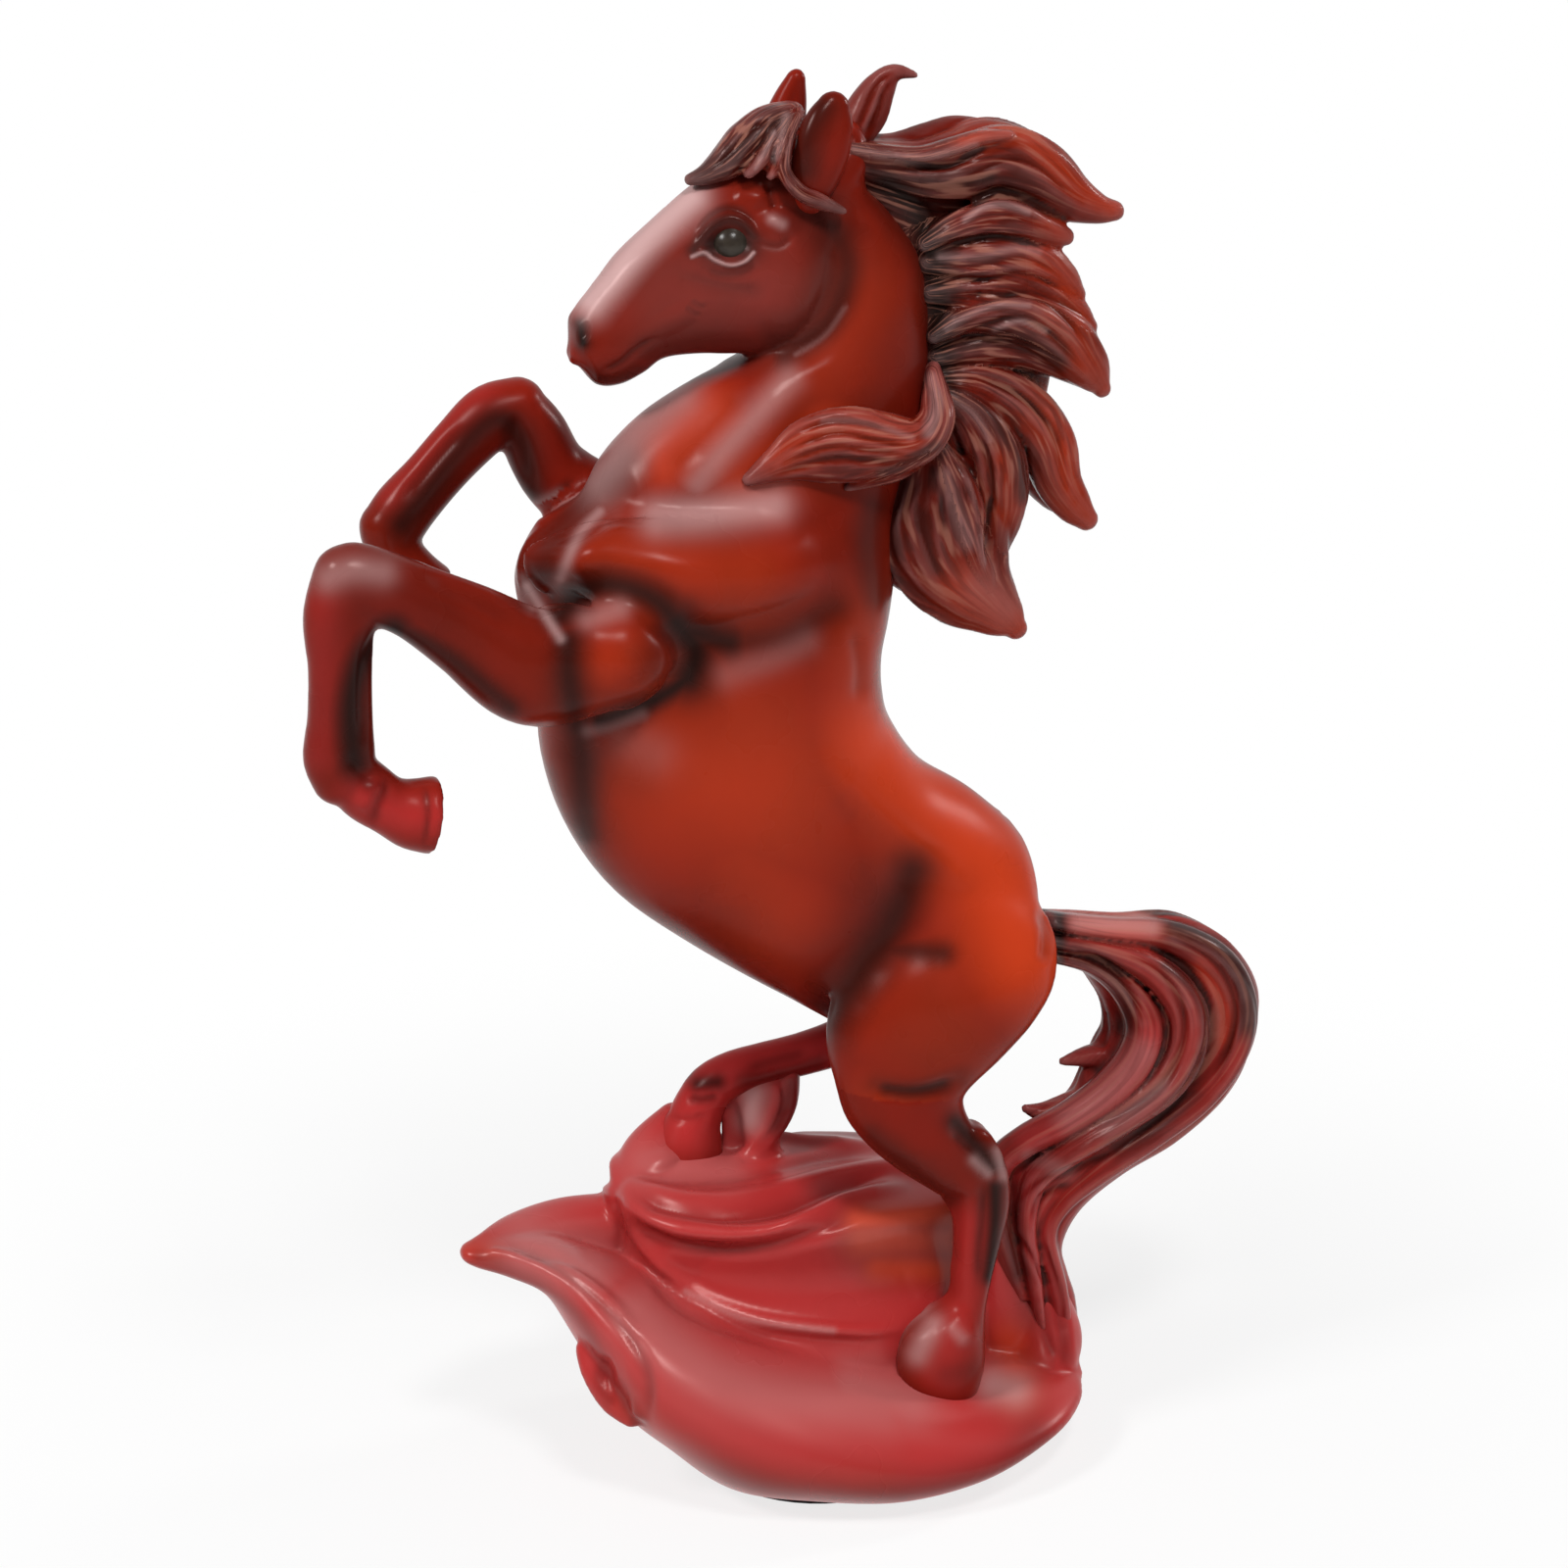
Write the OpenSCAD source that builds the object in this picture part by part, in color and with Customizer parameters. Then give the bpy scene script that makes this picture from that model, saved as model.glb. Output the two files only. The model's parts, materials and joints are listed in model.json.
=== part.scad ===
// Rearing horse statuette on a wave plinth, cast in parts that are glued on steel pins.
// Millimetres, +Z up, the horse faces -X and its left side is -Y.
// The origin lies on the felt's lower face, in the horse's middle plane.

/* [Plinth] */
// Height of the left hind hoof's ground above the table
base_h = 19; // [16:0.5:24]
// Length of the bowl-shaped plinth
bowl_l = 101; // [92:1:112]
// Width of the plinth
bowl_w = 80; // [72:1:92]
// Height of the raised step above the ground
step_h = 41; // [38:0.5:45]
// Length of the raised step
step_l = 86; // [80:1:94]
// Width of the raised step
step_w = 50; // [46:1:60]
// Reach of the leaf tip in front of the middle
leaf_reach = 84; // [76:1:92]
// Height of the leaf tip above the ground
leaf_h = 33; // [28:0.5:38]

/* [Weight and underside] */
// Diameter of the ballast plug
ballast_d = 34; // [28:1:38]
// Height of the ballast plug
ballast_h = 9; // [5:0.5:12]
// Diameter of the cover board
cover_d = 42; // [40:1:46]
// Thickness of the cover board
cover_t = 2; // [1.5:0.25:3]
// Thickness of the felt
felt_t = 1; // [0.8:0.1:2]
// Length of the felt sheet
felt_l = 52; // [48:1:56]
// Width of the felt sheet
felt_w = 50; // [46:1:56]

/* [Horse] */
// Width of the barrel
barrel_w = 53; // [48:0.5:58]
// Width of the neck below the head
neck_w = 22; // [19:0.5:26]
// Width of the head between the eyes
head_w = 23; // [20:0.5:26]
// Side to side thickness of the cannon bones
cannon_w = 10.4; // [9:0.2:12]
// Width of a hoof
hoof_w = 15; // [13:0.5:18]
// Side to side thickness of the tail
tail_w = 19; // [15:0.5:23]
// Side to side thickness of a mane lock
lock_w = 9; // [7:0.5:11]

/* [Pins] */
// Diameter of the neck dowel
neck_dowel_d = 8; // [6:0.5:10]
// Length of the neck dowel
neck_dowel_l = 36; // [24:1:44]
// Diameter of the foreleg pins
foreleg_pin_d = 4; // [3:0.25:5]
// Length of the foreleg pins
foreleg_pin_l = 22; // [16:1:26]
// Diameter of the stifle pins
stifle_pin_d = 4; // [3:0.25:5]
// Length of the stifle pins
stifle_pin_l = 20; // [14:1:24]
// Diameter of the hind leg rods
hind_rod_d = 3; // [2.5:0.25:4]
// Length of the left hind leg rod
left_rod_l = 42; // [34:1:46]
// Length of the right hind leg rod
right_rod_l = 20; // [16:1:24]
// Diameter of the tail pins
tail_pin_d = 4; // [3:0.25:5]
// Length of the tail pins
tail_pin_l = 18; // [14:1:22]
// Diameter of the mane pins
mane_pin_d = 3; // [2:0.25:4]
// Length of the mane pins
mane_pin_l = 13; // [10:1:16]

/* [Fits] */
// Glue line between two castings
glue_gap = 0.15; // [0.1:0.05:0.3]
// Play of a pin in its bore, all round
pin_gap = 0.05; // [0.05:0.05:0.15]
// Free depth at each end of a bore
bore_end = 0.5; // [0.2:0.1:0.8]

/* [Parts] */
// Part to draw

/* [Hidden] */
// Heights are from the ground of the left hind hoof. A limb's row is its place x y z, its half
// width across and its half depth along the bend. A belt's row is its two edge points x z, its
// middle's y and its half width.
// Sides of the lofted sections
body_sides = 24;
head_sides = 18;
limb_sides = 12;
muscle_sides = 10;
lock_sides = 7;
rim_sides = 6;
ground_sides = 24;
felt_sides = 48;
pin_sides = 24;
// Domed end of a loft: share of the end's radius outwards, then share of the section
dome = [[0.5, 0.86], [0.85, 0.5]];
bw = barrel_w / 2;
nw = neck_w / 2;
hw = head_w / 2;
cw = cannon_w / 2;
fw = hoof_w / 2;
tw = tail_w / 2;
lw = lock_w / 2;

// Barrel and neck, from the rump over the chest to the poll
neck_joint_h = 197;
body_rows = [
    [41.5, 83, 42.5, 101, 0, bw * 0.27],
    [32, 71, 39.5, 116, 0, bw * 0.62],
    [9, 73, 28, 129, 0, bw * 0.8],
    [-16, 88.5, 15.5, 137.5, 0, bw * 0.88],
    [-36.5, 103, 8, 148.5, 0, bw * 0.94],
    [-51.5, 116, 6, 156.5, 0, bw * 0.98],
    [-61, 131, 6, 164, 0, bw],
    [-65.5, 146.5, 7.5, 171, 0, bw],
    [-66, 161.5, 8.5, 177, 0, bw * 0.97],
    [-68.5, 174, 9, 183, 0, bw * 0.92],
    [-70, 185, 9.5, 189, 0, bw * 0.85],
    [-65, 195, 10.5, 195.5, 0, bw * 0.76],
    [-58, 200, 12, 202, 0, bw * 0.68],
    [-52.5, 207, 14.5, 210, 0, nw * 1.5],
    [-44, 215, 16.5, 219, 0, nw * 1.32],
    [-33, 221, 16.5, 228, 0, nw * 1.18],
    [-22, 226, 16, 236.5, 0, nw * 1.08],
    [-18, 234, 14.5, 244.5, 0, nw],
    [-15, 242, 10.5, 250.5, 0, nw * 0.97],
    [-11, 249.5, 6, 255.5, 0, nw * 0.9],
    [-7.5, 256, 2.5, 258.5, 0, nw * 0.8]];
shoulder_rows = [
    [-66, 11, 189, 4.5, 6],
    [-58, 16, 191.5, 8, 8],
    [-45, 19, 188.5, 9.6, 11.5],
    [-29, 19, 187, 8, 11.5],
    [-14, 17, 185.5, 5, 9],
    [-4, 13, 183, 4, 5]];
elbow_rows = [
    [-66, 23.5, 174.5, 4, 5],
    [-63, 24, 174.5, 8, 8.6],
    [-56, 24, 174.5, 10.6, 11],
    [-49.5, 23.5, 174.5, 8, 8.6],
    [-46.5, 23, 174.5, 4, 5]];
right_shoulder_rows = concat(
    [[-56, 14, 190, 5, 6]],
    [for (i = [2:len(shoulder_rows) - 1]) shoulder_rows[i]]);
right_elbow_rows = [
    [-51, 19, 178, 4, 5],
    [-45, 20, 178.5, 8.5, 9.5],
    [-39, 19, 178.5, 4, 5]];

// Head from the poll to the lips
head_rows = [
    [0, 256, -4, 270, 0, hw * 0.7],
    [-0.5, 240, -15.5, 270, 0, hw * 0.88],
    [-5, 230.5, -24.5, 265.5, 0, hw],
    [-14, 226.5, -31, 262, 0, hw],
    [-25, 227, -36, 258.5, 0, hw * 0.9],
    [-33, 227.5, -42, 253.5, 0, hw * 0.74],
    [-39.5, 227, -48, 248, 0, hw * 0.65],
    [-43.5, 224.5, -52.5, 242.5, 0, hw * 0.63],
    [-48.5, 222.5, -56.5, 238.5, 0, hw * 0.62],
    [-53.2, 222.9, -58.1, 235.6, 0, hw * 0.55],
    [-56.6, 227, -57.6, 231, 0, hw * 0.35]];
cheek_rows = [
    [-28, 6, 241.5, 3.2, 8],
    [-22, 7, 244, 4.6, 13.5],
    [-15, 7, 245.5, 4.8, 14.5],
    [-8, 6, 246, 3.6, 10]];
eye_rows = [
    [-32.5, 8, 251.5, 2, 2.6],
    [-28.5, 9, 252, 3, 4],
    [-24, 9, 252.5, 2, 2.6]];
nostril_rows = [
    [-55.5, 5, 236.5, 1.2, 1.8],
    [-54.5, 5.4, 234, 1.6, 2.4],
    [-53, 5.4, 231.5, 1.2, 1.8]];
ear_rows = [
    [-12, 7.5, 260, 2.6, 4],
    [-10, 9, 268, 3, 5],
    [-8.2, 9.4, 274.5, 2.4, 3.8],
    [-6.8, 9, 279, 0.8, 1]];
forelock_rows = [
    [-6, 0, 265, 7, 5],
    [-12, 0, 269.5, 8.5, 5],
    [-18, 0, 270, 8, 5.5],
    [-24, -1, 267, 6.5, 5],
    [-29.5, -1.5, 264, 4, 3],
    [-34.5, -2, 262.2, 1, 0.9]];
tuft_rows = [
    [-2, 2, 260, 4, 5],
    [1.2, 4, 267.3, 4, 4.2],
    [4.4, 4, 272.4, 3.6, 4.6],
    [7.1, 4, 277.1, 2.8, 3.6],
    [10.3, 4, 280, 1.8, 1.9],
    [14.6, 4, 279.3, 0.8, 0.8]];
neck_lock_rows = [
    [15, -3, 222, lw * 0.8, 3],
    [13.5, -11, 215, lw, 4],
    [10, -15, 211, lw, 5],
    [3, -16.5, 209.5, lw, 5.6],
    [-6, -16.5, 210.8, lw * 0.92, 6.2],
    [-15, -16, 209.3, lw * 0.8, 4.5],
    [-21.5, -16.5, 207, lw * 0.6, 2.7],
    [-27.3, -16.5, 204.8, 1, 0.9]];

// Mane: its root along the crest, then the locks, each from the crest to its tip
mane_root_rows = [
    [2, 0, 262, lw * 0.8, 4],
    [9, 0, 256, lw, 6],
    [14, 0, 246, lw, 7],
    [17.5, 0, 234, lw * 1.1, 7],
    [19, 0, 221, lw * 1.3, 7],
    [18, -1, 208, lw * 1.5, 7],
    [17, -1, 196, lw * 1.6, 6]];
mane_core_rows = [
    [36, 264, 0, 262, 0, lw * 0.65],
    [40, 252, 6, 250, 0, lw * 0.75],
    [42, 238, 10, 238, 0, lw * 0.85],
    [44, 226, 12, 228, 0, lw * 0.95],
    [42, 210, 12, 216, 0, lw],
    [38, 198, 11, 204, 0, lw * 1.1],
    [32, 186, 10, 190, 0, lw * 1.1],
    [29, 175, 14, 178, 0, lw * 0.9]];
mane_locks = [
    [[-4, 268, 0.5, 260, 0, lw * 0.7], [7.5, 266.5, 11.5, 257, 0, lw * 0.8],
        [17.5, 268, 20.5, 255.5, 0, lw * 0.9], [27, 269, 29.5, 254, 0, lw],
        [34, 269, 38, 252.5, 0, lw], [40, 265, 41.5, 250, 0, lw * 0.9],
        [46.5, 258.5, 46, 248, 0, lw * 0.75], [51.5, 254.5, 50.5, 248, 0, lw * 0.55],
        [57.5, 252.5, 56.5, 249, 0, 1]],
    [[2, 256, 4, 250, -2, lw * 0.7], [11, 256, 12.5, 249, -4, lw * 0.8],
        [22.5, 255, 23, 246, -5, lw * 0.9], [34, 253.5, 33.5, 245.5, -4, lw * 0.75],
        [41.5, 250, 40.5, 245, -3, lw * 0.5], [45.5, 246, 44, 244.5, -3, 0.8]],
    [[6, 248, 8, 238, -1, lw * 0.7], [15, 248.5, 16.5, 238.5, -2, lw * 0.9],
        [26.5, 247.5, 27, 236, -2.5, lw], [38.5, 245.5, 36.5, 234, -2, lw * 0.9],
        [45, 242, 42.5, 231.5, -2, lw * 0.6], [48.5, 236, 48, 231.5, -2, 1]],
    [[8, 237, 9, 224, -2, lw * 0.8], [16, 237.5, 17, 224, -5, lw],
        [27.5, 236.5, 27.5, 223.5, -7, lw * 1.05], [38, 235, 36, 221.5, -7, lw],
        [47.5, 232.5, 42.5, 219.5, -6, lw * 0.85], [51, 227, 47.5, 217, -6, lw * 0.6],
        [53, 220.5, 51, 214.5, -5, lw * 0.4], [53.5, 215, 52.5, 213.5, -5, 0.8]],
    [[12, 225, 14, 211, 0, lw * 0.8], [20, 222.5, 23, 209, 1, lw],
        [30.5, 220.5, 28.5, 206.5, 1, lw * 1.1], [40, 216, 31, 200, 1, lw * 1.1],
        [47, 208, 32, 193.5, 1, lw * 1.05], [50, 198.5, 35.5, 188, 1, lw * 0.95],
        [51, 191.5, 42, 187, 1, lw * 0.7], [53.5, 187.5, 48.5, 183.5, 1, lw * 0.45],
        [55, 184, 53.5, 182.5, 1, 0.8]],
    [[20, 220, 14, 219, -5, lw * 0.7], [22.5, 211.5, 12, 210.5, -7.5, lw],
        [25, 201, 5, 200.5, -9.5, lw * 1.15], [31.5, 192, 3.5, 189.5, -9.5, lw * 1.2],
        [32, 185, 4, 180, -9.5, lw * 1.15], [32, 178.5, 10.5, 174.5, -9, lw],
        [33, 173, 20, 170, -9, lw * 0.8], [35.5, 167.5, 29, 166.5, -8.5, lw * 0.5],
        [36, 165.5, 33.5, 164.5, -8, 0.8]],
    [[8, 252, 9, 243, 3, lw * 0.7], [18, 252, 18.5, 242, 6, lw * 0.8],
        [30, 250, 29, 240, 7, lw * 0.8], [41, 244, 39.5, 239, 6, 1]],
    [[10, 238, 11, 226, 4, lw * 0.8], [20, 237.5, 20.5, 225, 8, lw],
        [32, 233, 29, 220, 9, lw], [42, 224, 37, 213, 9, lw * 0.8], [47, 210, 45, 206, 8, 1]],
    [[18, 218, 11, 217, 6, lw * 0.7], [23, 207, 10, 206, 9.5, lw],
        [27, 195, 8, 191, 10.5, lw * 1.1], [28, 184, 11, 179, 10.5, lw],
        [29, 174, 20, 170.5, 9.5, lw * 0.7], [31, 167.5, 28, 166.5, 9, 0.8]]];

// Left foreleg: forearm, cannon, hoof
left_fore_y = -26;
left_forearm_rows = [
    [-56, -23, 172.5, 6.5, 9.5],
    [-66.5, left_fore_y + 1.5, 173.8, 8.4, 12.2],
    [-75, left_fore_y, 175, 8.6, 11.6],
    [-86, left_fore_y, 183, 7.4, 9.3],
    [-97, left_fore_y, 190.2, 6.7, 7.4],
    [-105.4, left_fore_y, 193.9, 6.6, 7.6],
    [-109, left_fore_y, 195, 6.2, 7.6]];
left_fore_cannon_rows = [
    [-108.5, left_fore_y, 196, 6, 7.2],
    [-111, left_fore_y, 188, 5.8, 7],
    [-111.3, left_fore_y, 178.3, cw, 6.2],
    [-111.7, left_fore_y, 168.4, cw, 6.3],
    [-112.2, left_fore_y, 160.6, cw * 1.12, 7],
    [-111.5, left_fore_y, 156, cw * 1.1, 6.4]];
left_fore_hoof_rows = [
    [-112.5, left_fore_y, 158.5, cw * 1.06, 5.6],
    [-107, left_fore_y, 152.4, cw * 1.06, 6],
    [-103, left_fore_y, 149.2, cw * 1.1, 5.8],
    [-98.5, left_fore_y, 147, fw * 0.88, 7.1],
    [-94, left_fore_y, 146, fw, 7.7]];

// Right foreleg
right_fore_y = 18;
right_forearm_rows = [
    [-42, 14, 186, 8.5, 10],
    [-51, 17, 194.5, 8.2, 8.6],
    [-57.5, right_fore_y, 201, 7.4, 7.4],
    [-61.5, right_fore_y, 209, 6.8, 7],
    [-65, right_fore_y, 214, 6.4, 6.4]];
right_fore_cannon_rows = [
    [-64.5, right_fore_y, 215, 6.2, 5.8],
    [-70.2, right_fore_y, 213, 6.2, 6.6],
    [-76.5, right_fore_y, 207.6, cw * 1.04, 6.2],
    [-82.7, right_fore_y, 201.4, cw, 6],
    [-88.5, right_fore_y, 195.4, cw * 1.1, 6.4],
    [-91.5, right_fore_y, 191, cw * 1.1, 6.4]];
right_fore_hoof_rows = [
    [-92, right_fore_y, 192, cw * 1.1, 5.8],
    [-90.7, right_fore_y, 186.9, cw * 1.06, 5.6],
    [-87.8, right_fore_y, 182.5, cw * 1.1, 5.6],
    [-84.5, right_fore_y, 178, fw * 0.92, 6.5]];

// Left hind leg: thigh and gaskin, then cannon and hoof
left_hind_y = -23;
left_thigh_rows = [
    [32, 114, 2, 128, -8, 7],
    [37.5, 102, -2.5, 115.5, -13, 10],
    [39, 92, -7, 101, -17.5, 11.5],
    [35.5, 84, -10.5, 89.5, -19.5, 11],
    [28, 77, -11, 82, -20.5, 10.2],
    [19.5, 70.5, -9.5, 74.5, -21.5, 9.2],
    [18.5, 66.5, -7.5, 67, -22.3, 8.4],
    [21, 61, -3, 60.5, left_hind_y, 7.6],
    [25, 55.5, 3, 54.5, left_hind_y, 6.8],
    [27.5, 50, 10, 49, left_hind_y, 6.2]];
left_hind_cannon_rows = [
    [25, 58, 11, 56.5, left_hind_y, 5.8],
    [28.5, 50.5, 12.5, 48.5, left_hind_y, 6],
    [29, 42.5, 15.5, 42, left_hind_y, 5.6],
    [28, 34.5, 16.5, 35.5, left_hind_y, cw],
    [27.5, 25.5, 15.5, 27.5, left_hind_y, cw],
    [27, 17.5, 13.5, 22, left_hind_y, cw * 1.14],
    [25.5, 12, 10.5, 16, left_hind_y, cw * 1.18],
    [24.5, 6.5, 7, 9.5, left_hind_y, fw * 0.95],
    [24.5, 0, 5, 0, left_hind_y, fw * 1.1]];

// Right hind leg, its hoof on the step
right_hind_y = 20;
right_thigh_rows = [
    [32, 114, 4, 128, 8, 7],
    [36, 102, 1, 115, 13, 10],
    [36, 92, -1, 100, 17, 11],
    [30, 84, -1, 89, 18.5, 10.4],
    [25, 79, 1, 81.5, 20, 9],
    [21, 75, 4, 76.5, 20.5, 7.8],
    [21, 71, 8, 71.5, 20.5, 6.8],
    [22.5, 66.5, 12, 66.5, 20.5, 6]];
// Lowest height of the right cannon's straight stretch
cannon_h = 62;
right_hind_cannon_rows = [
    [17, right_hind_y, cannon_h + 7, 5.6, 6.6],
    [14, right_hind_y, cannon_h + 5.6, 5.8, 7],
    [6, right_hind_y, cannon_h + 3, cw, 5.3],
    [-3, right_hind_y, cannon_h + 1.2, cw * 0.92, 4.8],
    [-12, right_hind_y, cannon_h, cw * 0.92, 4.7],
    [-19.5, right_hind_y, cannon_h - 1.4, cw, 5],
    [-24.4, right_hind_y, cannon_h - 4.2, cw * 1.04, 5.3],
    [-27.4, right_hind_y, step_h + 9.6, cw * 1.06, 5.4],
    [-29, right_hind_y, step_h + 5, fw * 0.82, 6.3],
    [-30, right_hind_y, step_h + 1, fw * 0.9, 6.8]];

// Tail and its two free tips
tail_rows = [
    [38, 100, 38.5, 88, 0, tw * 0.5],
    [51.5, 98, 51.5, 85.5, 0, tw * 0.56],
    [62.5, 96, 56.5, 80, 0, tw * 0.68],
    [76.5, 94.5, 59, 74.5, 0, tw * 0.82],
    [88.5, 87, 59, 69.5, -1, tw * 0.95],
    [96, 74.5, 57, 66, -1, tw * 1.04],
    [94.5, 61.5, 54, 61, -2, tw * 1.08],
    [88, 51, 51, 56, -3, tw * 1.05],
    [76.5, 42.5, 46, 52.5, -4, tw * 0.98],
    [63, 37, 40, 49.5, -5.5, tw * 0.9],
    [52.5, 30.5, 34, 44, -7, tw * 0.8],
    [48, 22.5, 32, 34, -7.5, tw * 0.7],
    [49.5, 15.5, 32, 23, -7.5, tw * 0.64],
    [52, 8, 33, 12.5, -7, tw * 0.6],
    [53, -1, 37, 1.5, -6, tw * 0.54],
    [51.5, -8, 42, -7, -5, tw * 0.44]];
tail_root_rows = [for (i = [0:3]) tail_rows[i]];
tail_tip_rows = [
    [[70, -3, 67, tw * 0.5, 5], [62.4, -3, 64.2, tw * 0.44, 3.6], [55.4, -2, 63.8, tw * 0.3, 2.4],
        [49.4, -2, 63.4, 0.9, 1]],
    [[62, -4, 54, tw * 0.5, 5], [52.6, -4, 53.4, tw * 0.44, 3.6], [45, -4, 52.7, tw * 0.3, 2.4],
        [40, -4, 54.4, 0.9, 1]]];

// Plinth: the ground with its leaf tip, then the rings of the step as half length, half width,
// height and shift, the rim, the scroll and the crest
table_z = -base_h;
foot_z = table_z + felt_t;
bowl_y = -7;
bl = bowl_l / 2;
bwd = bowl_w / 2;
step_x = -6;
step_y = 7;
sl = step_l / 2;
sw = step_w / 2;
step_lean = -0.08;
step_rings = [
    [sl * 1.03, sw * 1.16, 0, 0, -1],
    [sl * 1.02, sw * 1.12, 13, 0, -1],
    [sl * 0.97, sw * 0.98, step_h - 18, 0, 0],
    [sl * 0.97, sw * 0.97, step_h - 13, 0, 0],
    [sl, sw, step_h - 11, 0, 0],
    [sl * 0.97, sw * 0.96, step_h - 8, 0, 0],
    [sl * 0.99, sw * 0.99, step_h - 5, 0, 0],
    [sl * 0.96, sw * 0.95, step_h - 1.5, 0, 0],
    [sl * 0.82, sw * 0.78, step_h, 0, 0]];
ground_rows = [
    [bl - 1, -8.5, bl - 1, -4.5, bowl_y, bwd * 0.28],
    [bl - 5, -11, bl - 5, -3, bowl_y, bwd * 0.5],
    [bl - 15, -13.5, bl - 15, -1, bowl_y, bwd * 0.76],
    [18, foot_z - 1, 18, 1.5, bowl_y, bwd * 0.96],
    [0, foot_z - 5, -2, 8, bowl_y, bwd],
    [-18, foot_z - 4, -20, 15, bowl_y + 1, bwd * 0.96],
    [-34, foot_z - 1, -32, 21, bowl_y + 2, bwd * 0.88],
    [-46, -9, -42, 25.5, bowl_y + 3, bwd * 0.79],
    [-55, 0, -50, leaf_h - 4, bowl_y + 4, bwd * 0.68],
    [-62, 14, -57, leaf_h - 1, bowl_y + 7, bwd * 0.52],
    [-leaf_reach + 16, leaf_h - 8.5, -leaf_reach + 20, leaf_h + 1.5, bowl_y + 11, bwd * 0.34],
    [-leaf_reach + 9, leaf_h - 5, -leaf_reach + 12, leaf_h + 2, bowl_y + 14, bwd * 0.18],
    [-leaf_reach + 3, leaf_h - 3.5, -leaf_reach + 4, leaf_h + 2, bowl_y + 15, bwd * 0.115],
    [-leaf_reach + 1.5, leaf_h - 2.5, -leaf_reach + 2, leaf_h + 1.6, bowl_y + 15, bwd * 0.09]];
leaf_back_rows = [
    [-leaf_reach + 4, 9, leaf_h + 0.5, 2, 2],
    [-70, 14, leaf_h + 0.5, 5, 3],
    [-58, 17, leaf_h - 1, 7, 5],
    [-44, 18, leaf_h - 5, 8, 8]];
rim_rows = [
    [-leaf_reach + 6, 4, leaf_h + 1, 1.2, 1.2],
    [-72, 0, leaf_h, 1.8, 1.8],
    [-64.5, -7.5, leaf_h - 1.5, 2.4, 2.4],
    [-58.5, -15, 27.5, 2.8, 2.8],
    [-54.5, -21.5, 22, 3, 3],
    [-53, -24.5, 14.5, 3, 3],
    [-53.5, -24, 7, 2.4, 2.4]];
scroll_rows = [
    [-61.5, -11, 16.5, 2, 3],
    [-60, -14.5, 12, 2.6, 3.8],
    [-57.5, -18.5, 7, 2.6, 3.6],
    [-54.5, -21.5, 3, 1.6, 2]];
bulge_rows = [
    [-42, 14, step_h - 5, 9, 8],
    [-38, 20, step_h + 2, 7, 7],
    [-31, 24, step_h + 8, 4, 5]];
crest_rise = cannon_h - 2 - step_h;
crest_rows = [
    [-13, 14, step_h - 4, 6, 7],
    [-14, 16, step_h + crest_rise * 0.32, 5, 6],
    [-15, 18, step_h + crest_rise * 0.68, 4, 6.5],
    [-16, right_hind_y, step_h + crest_rise, 3.4, 7.5]];

// Joint planes: a point and the way out of the trunk
neck_joint = [[-30, 0, neck_joint_h], [0, 0, 1]];
left_fore_joint = [[-69, left_fore_y, 174.5], [-0.97, 0, 0.24]];
right_fore_joint = [[-56, right_fore_y, 199], [-0.6, 0.1, 0.79]];
left_hind_joint = [[5, -21.5, 72.5], [-0.14, 0, -0.99]];
right_hind_joint = [[13, 20, 80], [-0.1, 0, -0.99]];
tail_joint = [[48.5, 0, 92.8], [0.97, 0, -0.24]];
left_sole = [[17, left_hind_y, 0], [0.11, 0, 0.99]];
right_sole = [[-29.6, right_hind_y, step_h + 1], [0.32, 0, 0.95]];
tail_foot_joint = [[46.5, -5.5, -3], [0.1, 0, 0.99]];
mane_joints = [[[15.5, 0, 236], [1, 0, 0]], [[16, 0, 221], [1, 0, -0.2]]];
big = 260;
tail_cut = 40;
rod_depth = 9;
tail_foot_depth = 4.5;
felt_x = -8;

function unit(v) = v / norm(v);
// The same joint seen from the other side, a glue line away
function facing(joint) = [joint[0] + glue_gap * unit(joint[1]), -joint[1]];
function place(row) = [row[0], row[1], row[2]];
// Way of the path at row i
function way(rows, i) =
    unit(place(rows[min(i + 1, len(rows) - 1)]) - place(rows[max(i - 1, 0)]));
function across(t) = unit([0, 1, 0] - t[1] * t);
// Ring of points round a section, moved along the way and scaled for a domed end
function ring(q, sides, shift, share) = [for (j = [0:sides - 1])
    let (a = 360 * j / sides)
    q[0] + shift * q[3] + share * (cos(a) * q[1] + sin(a) * q[2])];
function skin(rings, sides) = concat(
    [[for (j = [0:sides - 1]) j]],
    [for (i = [0:len(rings) - 2], j = [0:sides - 1])
        [i * sides + j, (i + 1) * sides + j, (i + 1) * sides + (j + 1) % sides]],
    [for (i = [0:len(rings) - 2], j = [0:sides - 1])
        [i * sides + j, (i + 1) * sides + (j + 1) % sides, i * sides + (j + 1) % sides]],
    [[for (j = [sides - 1:-1:0]) (len(rings) - 1) * sides + j]]);

// Limb through rows, its sections square to the path, with domed ends unless told otherwise
module limb(path, sides, grow = 0, last_round = true) {
    sections = [for (i = [0:len(path) - 1])
        let (t = way(path, i), s = across(t))
        [place(path[i]), (path[i][3] + grow) * s, (path[i][4] + grow) * cross(t, s), t]];
    skinned(sections, sides, last_round);
}

// Limb through rows of two edge points, which each section reaches from edge to edge
module belt(path, sides, grow = 0, last_round = true) {
    sections = [for (r = path)
        let (n = [r[0] - r[2], 0, r[1] - r[3]] / 2)
        [[(r[0] + r[2]) / 2, r[4], (r[1] + r[3]) / 2], [0, r[5] + grow, 0],
            n + grow * unit(n), cross([0, 1, 0], unit(n))]];
    skinned(sections, sides, last_round);
}

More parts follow.
